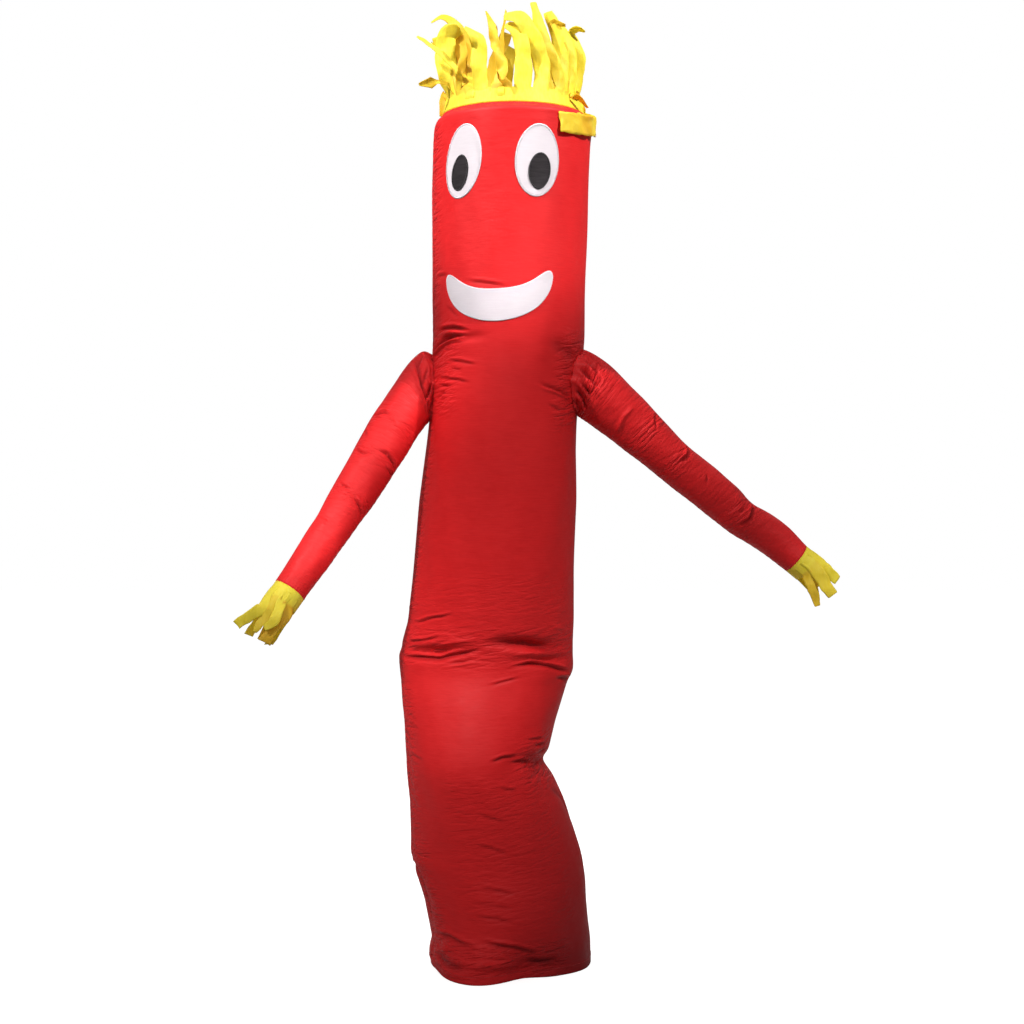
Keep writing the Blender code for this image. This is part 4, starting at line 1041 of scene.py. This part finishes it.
def ringOfPaths(shape, edge, spot=None):
    # the ribbons of a ring, counted from the one that starts right behind
    paths = []
    pitch = 360 / len(shape["rows"])
    for index, row in enumerate(shape["rows"]):
        if row is None:
            continue
        start = -180 + index * pitch
        near, far = edge(start + pitch / 2)[0], edge(start + pitch / 2 + 180)[0]
        half = math.degrees(shape["slit"] / (near - far).length)
        edgeA, edgeB = edge(start + half)[0], edge(start + pitch - half)[0]
        _, along, outwards = edge(start + pitch / 2)
        paths.append(ribbonPath(edgeA, edgeB, along, outwards, row, shape))
    return paths + [stripPath(edge, row, shape, spot) for row in shape["strips"]]


def newTree(name, sockets):
    # a node tree with named inputs; sockets holds the name and kind of each
    tree = bpy.data.node_groups.new(name, "GeometryNodeTree")
    ids = {}
    for label, kind in sockets:
        made = tree.interface.new_socket(label, in_out="INPUT", socket_type="NodeSocket" + kind)
        ids[label] = made.identifier
    tree.interface.new_socket("Geometry", in_out="OUTPUT", socket_type="NodeSocketGeometry")
    return tree, ids, addNode(tree, "NodeGroupInput").outputs


def finishTree(tree, geometry, material):
    real = addNode(tree, "GeometryNodeRealizeInstances", {"Geometry": geometry})
    painted = addNode(tree, "GeometryNodeSetMaterial", {
        "Geometry": real.outputs["Geometry"], "Material": material})
    addNode(tree, "NodeGroupOutput", {"Geometry": painted.outputs["Geometry"]})


def readAttribute(tree, name, kind):
    reader = addNode(tree, "GeometryNodeInputNamedAttribute", {"Name": name}, data_type=kind)
    return reader.outputs["Attribute"]


# columns across a ribbon; how close together its crinkles are, their mean in the noise, their strength
ribbonCloth = {"columns": 9, "crinkleScale": 17, "crinkleMean": 0.09, "crinkleStrength": 6}


def ribbonTree():
    # every path becomes a strip of cloth, cupped across and rippled down its length
    tree, ids, given = newTree("ribbonTree", (
        ("Paths", "Geometry"), ("Cup", "Float"), ("Columns", "Int"), ("Material", "Material")))
    halfWidth = readAttribute(tree, "halfWidth", "FLOAT")
    curve = addNode(tree, "GeometryNodeMeshToCurve", {"Mesh": given["Paths"]})
    curve = addNode(tree, "GeometryNodeSetCurveNormal", {
        "Curve": curve.outputs["Curve"],
        "Normal": readAttribute(tree, "across", "FLOAT_VECTOR")}, mode="FREE")
    curve = addNode(tree, "GeometryNodeSetCurveRadius", {
        "Curve": curve.outputs["Curve"], "Radius": halfWidth})
    # a strip's section: a line across it, bent into a shallow cup
    line = addNode(tree, "GeometryNodeCurvePrimitiveLine", {"Start": (-1, 0, 0), "End": (1, 0, 0)})
    line = addNode(tree, "GeometryNodeResampleCurve", {
        "Curve": line.outputs["Curve"], "Count": given["Columns"]})
    place = addNode(tree, "GeometryNodeInputPosition").outputs["Position"]
    across = addNode(tree, "ShaderNodeSeparateXYZ", {"Vector": place}).outputs["X"]
    square = addNode(tree, "ShaderNodeMath", {0: across, 1: across}, operation="MULTIPLY")
    cup = addNode(tree, "ShaderNodeMath", {0: square.outputs["Value"], 1: given["Cup"]},
                  operation="MULTIPLY")
    lift = addNode(tree, "ShaderNodeCombineXYZ", {"Y": cup.outputs["Value"]})
    section = addNode(tree, "GeometryNodeSetPosition", {
        "Geometry": line.outputs["Curve"], "Offset": lift.outputs["Vector"]})
    strip = addNode(tree, "GeometryNodeCurveToMesh", {
        "Curve": curve.outputs["Curve"], "Profile Curve": section.outputs["Geometry"]})
    if "Scale" in strip.inputs:
        tree.links.new(halfWidth, strip.inputs["Scale"])
    # crinkled wherever the ribbon is loose
    crinkle = addNode(tree, "ShaderNodeTexNoise", {"Scale": ribbonCloth["crinkleScale"], "Detail": 1})
    centred = addNode(tree, "ShaderNodeVectorMath", {
        0: crinkle.outputs["Color"], 1: (0.5, 0.5, 0.5)}, operation="SUBTRACT")
    folded = addNode(tree, "ShaderNodeVectorMath", {0: centred.outputs["Vector"]}, operation="ABSOLUTE")
    evened = addNode(tree, "ShaderNodeVectorMath", {
        0: folded.outputs["Vector"], 1: (ribbonCloth["crinkleMean"],) * 3}, operation="SUBTRACT")
    loose = addNode(tree, "ShaderNodeMath", {
        0: readAttribute(tree, "loose", "FLOAT"), 1: ribbonCloth["crinkleStrength"]}, operation="MULTIPLY")
    sized = addNode(tree, "ShaderNodeVectorMath", {
        0: evened.outputs["Vector"], "Scale": loose.outputs["Value"]}, operation="SCALE")
    crinkled = addNode(tree, "GeometryNodeSetPosition", {
        "Geometry": strip.outputs["Mesh"], "Offset": sized.outputs["Vector"]})
    finishTree(tree, crinkled.outputs["Geometry"], given["Material"])
    return tree, ids


def stitchTree():
    # short threads at an even pitch along a line, lying flat on the cloth
    tree, ids, given = newTree("stitchTree", (
        ("Lines", "Geometry"), ("Pitch", "Float"), ("Stitch Length", "Float"), ("Thread", "Float"),
        ("Turn", "Float"), ("Seed", "Int"), ("Material", "Material")))
    curve = addNode(tree, "GeometryNodeMeshToCurve", {"Mesh": given["Lines"]})
    even = addNode(tree, "GeometryNodeResampleCurve", {
        "Curve": curve.outputs["Curve"], "Length": given["Pitch"]}, mode="LENGTH")
    ball = addNode(tree, "GeometryNodeMeshUVSphere", {"Segments": 6, "Rings": 4, "Radius": 0.5})
    size = addNode(tree, "ShaderNodeCombineXYZ", {
        "X": given["Stitch Length"], "Y": given["Thread"], "Z": given["Thread"]})
    thread = addNode(tree, "GeometryNodeTransform", {
        "Geometry": ball.outputs["Mesh"], "Scale": size.outputs["Vector"]})
    # along the line first, then flat on the cloth, then slanted with a little wobble
    tangent = addNode(tree, "GeometryNodeInputTangent").outputs["Tangent"]
    along = addNode(tree, "FunctionNodeAlignRotationToVector", {"Vector": tangent}, axis="X")
    flat = addNode(tree, "FunctionNodeAlignRotationToVector", {
        "Rotation": along.outputs["Rotation"],
        "Vector": readAttribute(tree, "outwards", "FLOAT_VECTOR")}, axis="Z", pivot_axis="X")
    wobble = addNode(tree, "FunctionNodeRandomValue", {2: -0.12, 3: 0.12, "Seed": given["Seed"]},
                     data_type="FLOAT")
    slant = addNode(tree, "ShaderNodeMath", {0: wobble.outputs[1], 1: given["Turn"]})
    angles = addNode(tree, "ShaderNodeCombineXYZ", {"Z": slant.outputs["Value"]})
    slanted = addNode(tree, "FunctionNodeEulerToRotation", {"Euler": angles.outputs["Vector"]})
    turned = addNode(tree, "FunctionNodeRotateRotation", {
        "Rotation": flat.outputs["Rotation"], "Rotate By": slanted.outputs["Rotation"]},
        rotation_space="LOCAL")
    sown = addNode(tree, "GeometryNodeInstanceOnPoints", {
        "Points": even.outputs["Curve"], "Instance": thread.outputs["Geometry"],
        "Rotation": turned.outputs["Rotation"]})
    finishTree(tree, sown.outputs["Instances"], given["Material"])
    return tree, ids


ribbonGroup, ribbonIds = ribbonTree()
stitchGroup, stitchIds = stitchTree()


def runTree(name, mesh, group, ids, values, material):
    # runs a node tree on a mesh of lines and keeps the plain mesh that comes out
    carrier = placed(name, mesh, material)
    nodes = carrier.modifiers.new("nodes", "NODES")
    nodes.node_group = group
    for key, value in values.items():
        nodes[ids[key]] = value
    nodes[ids["Material"]] = material
    piece = evaluatedMesh(carrier)
    piece.data.shade_smooth()
    return piece


def pathsMesh(name, paths):
    points, edges, values = [], [], []
    for path in paths:
        first = len(points)
        for index, (middle, side, half, loose, paintedShade) in enumerate(path):
            points.append(tuple(middle))
            values.append((tuple(side), half, loose, paintedShade))
            if index:
                edges.append((first + index - 1, first + index))
    mesh = bpy.data.meshes.new(name)
    mesh.from_pydata(points, edges, [])
    across, halves, looseness, paintedShades = zip(*values)
    addAttribute(mesh, "across", "FLOAT_VECTOR", across)
    addAttribute(mesh, "halfWidth", "FLOAT", halves)
    addAttribute(mesh, "loose", "FLOAT", looseness)
    addAttribute(mesh, "paintedShade", "FLOAT", paintedShades)
    return mesh


def bandMesh(name, edge, azimuths, shares):
    points = np.array([[tuple(edge(azimuth, share)[0]) for azimuth in azimuths] for share in shares])
    return gridMesh(name, points, closed=True)


def joined(name, pieces):
    # several objects at the origin become one
    bm = bmesh.new()
    for piece in pieces:
        bm.from_mesh(piece.data)
    mesh = bpy.data.meshes.new(name)
    bm.to_mesh(mesh)
    bm.free()
    material = pieces[0].data.materials[0]
    for piece in pieces:
        bpy.data.objects.remove(piece)
    mesh.materials.append(material)
    mesh.shade_smooth()
    return addObject(name, mesh)


def makeFringe(name, paths, band, shape):
    strips = runTree(name + "Strips", pathsMesh(name, paths), ribbonGroup, ribbonIds,
                     {"Cup": shape["cup"], "Columns": ribbonCloth["columns"]}, yellowNylon)
    fringe = joined(name, [placed(name + "Band", band, yellowNylon), strips])
    return thicken(fringe, shape["cloth"], 0)


turns = np.arange(144) * 2.5 - 180
hairPiece = makeFringe("hairRibbons", ringOfPaths(hair, hairEdge) + [shoulderPath()],
                       bandMesh("hairBand", hairEdge, turns, np.linspace(0, 1, 9)), hair)
handPieces = {}
for side in hands:
    edge, spot = handEdge(side)
    cuff = bandMesh("cuff", edge, np.arange(63) * 360 / 63 - 180, np.linspace(0, 1, 7))
    handPieces[side] = makeFringe("hand" + side.capitalize(), ringOfPaths(hands[side], edge, spot),
                                  cuff, hands[side])
print("ribbons cut:", len(hairPiece.data.polygons), "faces in the hair")


face = {
    "cloth": 0.0012, "gap": 0.0006, "rings": 12, "around": 96,
    # name, azimuth, height, width, tall, tilt
    "whites": [("eyeWhiteLeft", -37.7, 2.401, 0.133, 0.216, 7),
               ("eyeWhiteRight", 18.6, 2.397, 0.134, 0.209, 2)],
    "pupils": [("pupilLeft", -39.6, 2.369, 0.062, 0.104, 8),
               ("pupilRight", 20.2, 2.367, 0.066, 0.105, 4)]}
smile = {
    "azimuth": -8.9, "halfSweep": 41.9, "corner": 2.061, "drop": 0.127, "dip": 0.033,
    "horn": 0.076, "tilt": 0.0035, "columns": 120, "rows": 16}


def ovalPlace(row, share, turn, off):
    _, azimuth, height, width, tall, tilt = row
    lean = math.radians(tilt)
    across = np.sin(turn) * share * width / 2
    up = np.cos(turn) * share * tall / 2
    degrees = math.degrees(1 / tube["radius"])
    return tubeSurface(azimuth + (across * math.cos(lean) + up * math.sin(lean)) * degrees,
                       height + up * math.cos(lean) - across * math.sin(lean), off)


def makeOval(row, off, material):
    turns, shares = np.meshgrid(np.arange(face["around"]) * 2 * math.pi / face["around"],
                                np.linspace(0, 1, face["rings"] + 1)[1:])
    points = ovalPlace(row, shares, turns, off)
    mesh = gridMesh(row[0], points, closed=True, flip=True)
    bm = bmesh.new()
    bm.from_mesh(mesh)
    inner = list(bm.verts)[:face["around"]]
    hub = bm.verts.new(Vector(ovalPlace(row, 0, 0.0, off)))
    for first, after in zip(inner, inner[1:] + inner[:1]):
        bm.faces.new((hub, first, after))
    bm.to_mesh(mesh)
    bm.free()
    patch = placed(row[0], mesh, material)
    return thicken(patch, face["cloth"], 1)


def smileShares(count):
    # places from corner to corner, closer together at the corners
    return np.sin(math.pi * (np.linspace(0.004, 0.996, count) - 0.5))


def smileLips(share):
    corner = np.sqrt(np.maximum(0, 1 - np.abs(share) ** 6))
    corners = smile["corner"] + smile["tilt"] * share
    upper = corners + corner * (smile["horn"] * np.abs(share) ** 2.6 - smile["dip"])
    lower = corners - smile["drop"] * np.sqrt(np.maximum(0, 1 - share ** 2))
    return upper, lower


def makeSmile():
    share = smileShares(smile["columns"] + 1)
    upper, lower = smileLips(share)
    rows = np.linspace(0, 1, smile["rows"] + 1)[:, None]
    heights = lower[None, :] + (upper - lower)[None, :] * rows
    azimuths = np.broadcast_to(smile["azimuth"] + smile["halfSweep"] * share, heights.shape)
    mesh = gridMesh("smile", tubeSurface(azimuths, heights, face["gap"]), closed=False)
    return thicken(placed("smilePatch", mesh, whiteNylon), face["cloth"], 1)


patches = {row[0]: makeOval(row, face["gap"], whiteNylon) for row in face["whites"]}
patches.update({row[0]: makeOval(row, face["gap"] * 2 + face["cloth"], greyNylon) for row in face["pupils"]})
patches["smilePatch"] = makeSmile()
print("face sewn on")


def lineMesh(name, lines):
    # lines holds pairs of arrays: points on the cloth, and the way out of it there
    points, edges, out = [], [], []
    for line, outwards, closed in lines:
        first = len(points)
        points += [tuple(point) for point in line]
        out += [tuple(way) for way in outwards]
        edges += [(first + index, first + index + 1) for index in range(len(line) - 1)]
        if closed:
            edges.append((first + len(line) - 1, first))
    mesh = bpy.data.meshes.new(name)
    mesh.from_pydata(points, edges, [])
    addAttribute(mesh, "outwards", "FLOAT_VECTOR", out)
    return mesh


def onTube(azimuths, heights, off, closed=False):
    line = tubeSurface(azimuths, heights, off)
    return line, tubeSurface(azimuths, heights, off + 0.01) - line, closed


def onSleeve(side, angles, distances, off, closed=False):
    line = sleeveSurface(sleeves[side], angles, distances, off)
    return line, sleeveSurface(sleeves[side], angles, distances, off + 0.01) - line, closed


stitching = {
    # heights of the rows at the hem and the crown, and how far the thread's middle is off the cloth
    "hemRow": 0.0225, "crownRow": 2.560, "off": 0.0003, "seed": 3,
    # degrees from a seam to the rows beside it
    "besideSeam": 1.3, "besideSleeveSeam": 2.6,
    # pitch, length and thickness of a stitch, and degrees that it is turned across its line
    "body": (0.006, 0.0044, 0.0010, 0), "sleeve": (0.005, 0.0038, 0.0010, 0),
    "white": (0.0024, 0.0048, 0.0016, 78), "pupil": (0.0022, 0.0040, 0.0015, 78)}


def stitches(name, lines, kind, material):
    pitch, length, thread, turn = stitching[kind]
    return runTree(name, lineMesh(name, lines), stitchGroup, stitchIds,
                   {"Pitch": pitch, "Stitch Length": length, "Thread": thread,
                    "Turn": math.radians(turn), "Seed": stitching["seed"]}, material)


off = stitching["off"]
ringTurns = np.arange(720) * 0.5
seamHeights = np.arange(0.03, 2.555, 0.004)
bodyLines = [onTube(ringTurns, stitching[row], off, True) for row in ("hemRow", "crownRow")]
for seam in (tube["sideSeam"], tube["backSeam"]):
    for shift in (-stitching["besideSeam"], stitching["besideSeam"]):
        bodyLines.append(onTube(np.full_like(seamHeights, seam + shift), seamHeights, off))
armLines = {}
for side in sleeves:
    sleeve = sleeves[side]
    end = sleeveRows(sleeve)[-1][0]
    angles = np.arange(sleeve["columns"]) * 360 / sleeve["columns"]
    armLines[side] = [onSleeve(side, angles, sleeve["starts"] + 0.004, off, True),
                      onSleeve(side, np.arange(180) * 2.0, end - 0.005, off, True)]
    run = np.arange(sleeve["starts"].max() + 0.01, end - 0.01, 0.004)
    for shift in (-stitching["besideSleeveSeam"], stitching["besideSleeveSeam"]):
        armLines[side].append(onSleeve(side, np.full_like(run, sleeve["underSeam"] + shift), run, off))


def ovalLine(row, off, share):
    turns = np.arange(240) * 2 * math.pi / 240
    line = ovalPlace(row, share, turns, off)
    return line, ovalPlace(row, share, turns, off + 0.01) - line, True


def smileLine(off, inset):
    share = smileShares(160)
    upper, lower = smileLips(share)
    azimuths = smile["azimuth"] + smile["halfSweep"] * share
    azimuths = np.concatenate((azimuths, azimuths[::-1]))
    heights = np.concatenate((lower + inset, (upper - inset)[::-1]))
    return onTube(azimuths, heights, off, True)


proud = face["gap"] + face["cloth"]
whiteLines = [ovalLine(row, proud, 0.975) for row in face["whites"]] + [smileLine(proud, 0.002)]
pupilLines = [ovalLine(row, 2 * proud, 0.96) for row in face["pupils"]]
threads = {
    "bodyThread": stitches("bodyThread", bodyLines, "body", redThread),
    "armLeftThread": stitches("armLeftThread", armLines["left"], "sleeve", redThread),
    "armRightThread": stitches("armRightThread", armLines["right"], "sleeve", redThread),
    "whiteBorder": stitches("whiteBorder", whiteLines, "white", whiteThread),
    "pupilBorder": stitches("pupilBorder", pupilLines, "pupil", greyThread)}
print("stitched:", sum(len(piece.data.polygons) for piece in threads.values()), "faces of thread")


def sewnTo(piece, slotName, *nodes):
    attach(piece, "root")
    if nodes:
        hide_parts(*nodes)


sewnTo(body, "red_nylon", "body")
sewnTo(arms["left"], "red_nylon", "arm_left")
sewnTo(arms["right"], "red_nylon", "arm_right")
sewnTo(hairPiece, "yellow_nylon", "hair_fringe")
sewnTo(handPieces["left"], "yellow_nylon", "hand_fringe_left")
sewnTo(handPieces["right"], "yellow_nylon", "hand_fringe_right")
sewnTo(patches["eyeWhiteLeft"], "white_patch", "eye_white_left")
sewnTo(patches["eyeWhiteRight"], "white_patch", "eye_white_right")
sewnTo(patches["pupilLeft"], "grey_patch", "pupil_left")
sewnTo(patches["pupilRight"], "grey_patch", "pupil_right")
sewnTo(patches["smilePatch"], "white_patch", "smile")
for name, slotName in (("bodyThread", "red_nylon"), ("armLeftThread", "red_nylon"),
                       ("armRightThread", "red_nylon"), ("whiteBorder", "white_patch"),
                       ("pupilBorder", "grey_patch")):
    sewnTo(threads[name], slotName)


studio = {
    "floor": 30.0, "floorShade": (0.55, 0.555, 0.55, 1), "floorGlow": 0.80, "backdrop": 1.0,
    # the air's light from above, its share from below, and between what slopes it goes over
    "air": 0.50, "airBelow": 0.12, "horizon": (-0.1, 0.7),
    # name, place, aim, watts, radius, cone, softness of the cone's edge
    "spots": [
        ("headLamp", (-2.4, -1.9, 4.9), (-0.10, -0.1, 2.475), 910, 0.09, 13.9, 0.15),
        ("cheekLamp", (2.3, -2.0, 4.9), (-0.10, -0.1, 2.475), 870, 0.09, 13.9, 0.15),
        ("armFill", (0.6, -4.0, 2.2), (-0.50, -0.1, 1.62), 360, 0.15, 5.2, 0.6),
        ("cuffFill", (0.6, -4.0, 2.2), (-0.71, -0.1, 1.26), 560, 0.15, 5.6, 0.6)],
    # name, place, aim, watts, size, spread of the beam
    "lamps": [
        ("armLamp", (-2.3, -2.5, 4.1), (-0.73, -0.15, 1.38), 1.2, 0.35, 15),
        ("chestLamp", (-1.4, -1.7, 3.8), (-0.335, -0.15, 1.84), 0.18, 0.2, 7),
        ("torsoLamp", (0.4, -3.0, 4.6), (-0.11, -0.1, 1.40), 1.3, 0.4, 18),
        ("kneeLamp", (-1.0, -2.6, 3.4), (-0.14, -0.1, 0.56), 0.6, 0.3, 20),
        ("handLamp", (2.4, -2.8, 2.9), (0.88, -0.1, 1.20), 0.25, 0.3, 8),
        ("backLamp", (-0.3, 4.2, 2.8), (-0.1, 0.0, 1.40), 60, 1.6, 120)]}


def hangLamp(light, place, aim, power):
    light.energy = power
    lamp = addObject(light.name, light)
    lamp.location = place
    lamp.rotation_euler = (Vector(aim) - Vector(place)).to_track_quat("-Z", "Y").to_euler()


def seenOrLit(tree, seen, lit):
    # one brightness for what the eye sees, another for the light that reaches the figure
    seenDirectly = addNode(tree, "ShaderNodeLightPath").outputs["Is Camera Ray"]
    return addNode(tree, "ShaderNodeMapRange", {
        "Value": seenDirectly, "To Min": lit, "To Max": seen}).outputs["Result"]


def makeFloor():
    half = studio["floor"] / 2
    mesh = bpy.data.meshes.new("floor")
    corners = [(-half, -half, 0), (half, -half, 0), (half, half, 0), (-half, half, 0)]
    mesh.from_pydata(corners, [], [(0, 1, 2, 3)])
    material = bpy.data.materials.new("floorPaint")
    material.use_nodes = True
    paint = material.node_tree
    shader = paint.nodes["Principled BSDF"]
    shader.inputs["Base Color"].default_value = studio["floorShade"]
    shader.inputs["Roughness"].default_value = 0.85
    shader.inputs["Emission Color"].default_value = (1, 1, 1, 1)
    paint.links.new(seenOrLit(paint, studio["floorGlow"], 0.0), shader.inputs["Emission Strength"])
    mesh.materials.append(material)
    addObject("floor", mesh)


makeFloor()
for name, place, aim, power, size, spread in studio["lamps"]:
    light = bpy.data.lights.new(name, "AREA")
    light.size = size
    light.spread = math.radians(spread)
    hangLamp(light, place, aim, power)
for name, place, aim, power, radius, cone, blend in studio["spots"]:
    light = bpy.data.lights.new(name, "SPOT")
    light.shadow_soft_size = radius
    light.spot_size = math.radians(cone)
    light.spot_blend = blend
    hangLamp(light, place, aim, power)
world = bpy.data.worlds.new("studioAir")
bpy.context.scene.world = world
world.use_nodes = True
# the air is brighter from above than from the floor
airTree = world.node_tree
direction = addNode(airTree, "ShaderNodeTexCoord").outputs["Generated"]
upwards = addNode(airTree, "ShaderNodeSeparateXYZ", {"Vector": direction}).outputs["Z"]
low, high = studio["horizon"]
fromAbove = addNode(airTree, "ShaderNodeMapRange", {
    "Value": upwards, "From Min": low, "From Max": high,
    "To Min": studio["air"] * studio["airBelow"], "To Max": studio["air"]}).outputs["Result"]
air = airTree.nodes["Background"]
air.inputs["Color"].default_value = (1.0, 1.0, 1.0, 1)
airTree.links.new(seenOrLit(airTree, studio["backdrop"], fromAbove), air.inputs["Strength"])
print("floor and lamps set up")

view = {"distance": 4.8, "height": 1.5, "lens": 55.33, "tiltDown": 1.485, "across": 0.0015}
lens = bpy.data.cameras.new("camera")
lens.lens = view["lens"]
lens.sensor_width = 36
camera = addObject("camera", lens)
camera.location = (hemMiddle.x + view["across"], hemMiddle.y - view["distance"], view["height"])
camera.rotation_euler = (math.radians(90 - view["tiltDown"]), 0, 0)
bpy.context.scene.camera = camera

bpy.context.scene.view_settings.view_transform = "Standard"
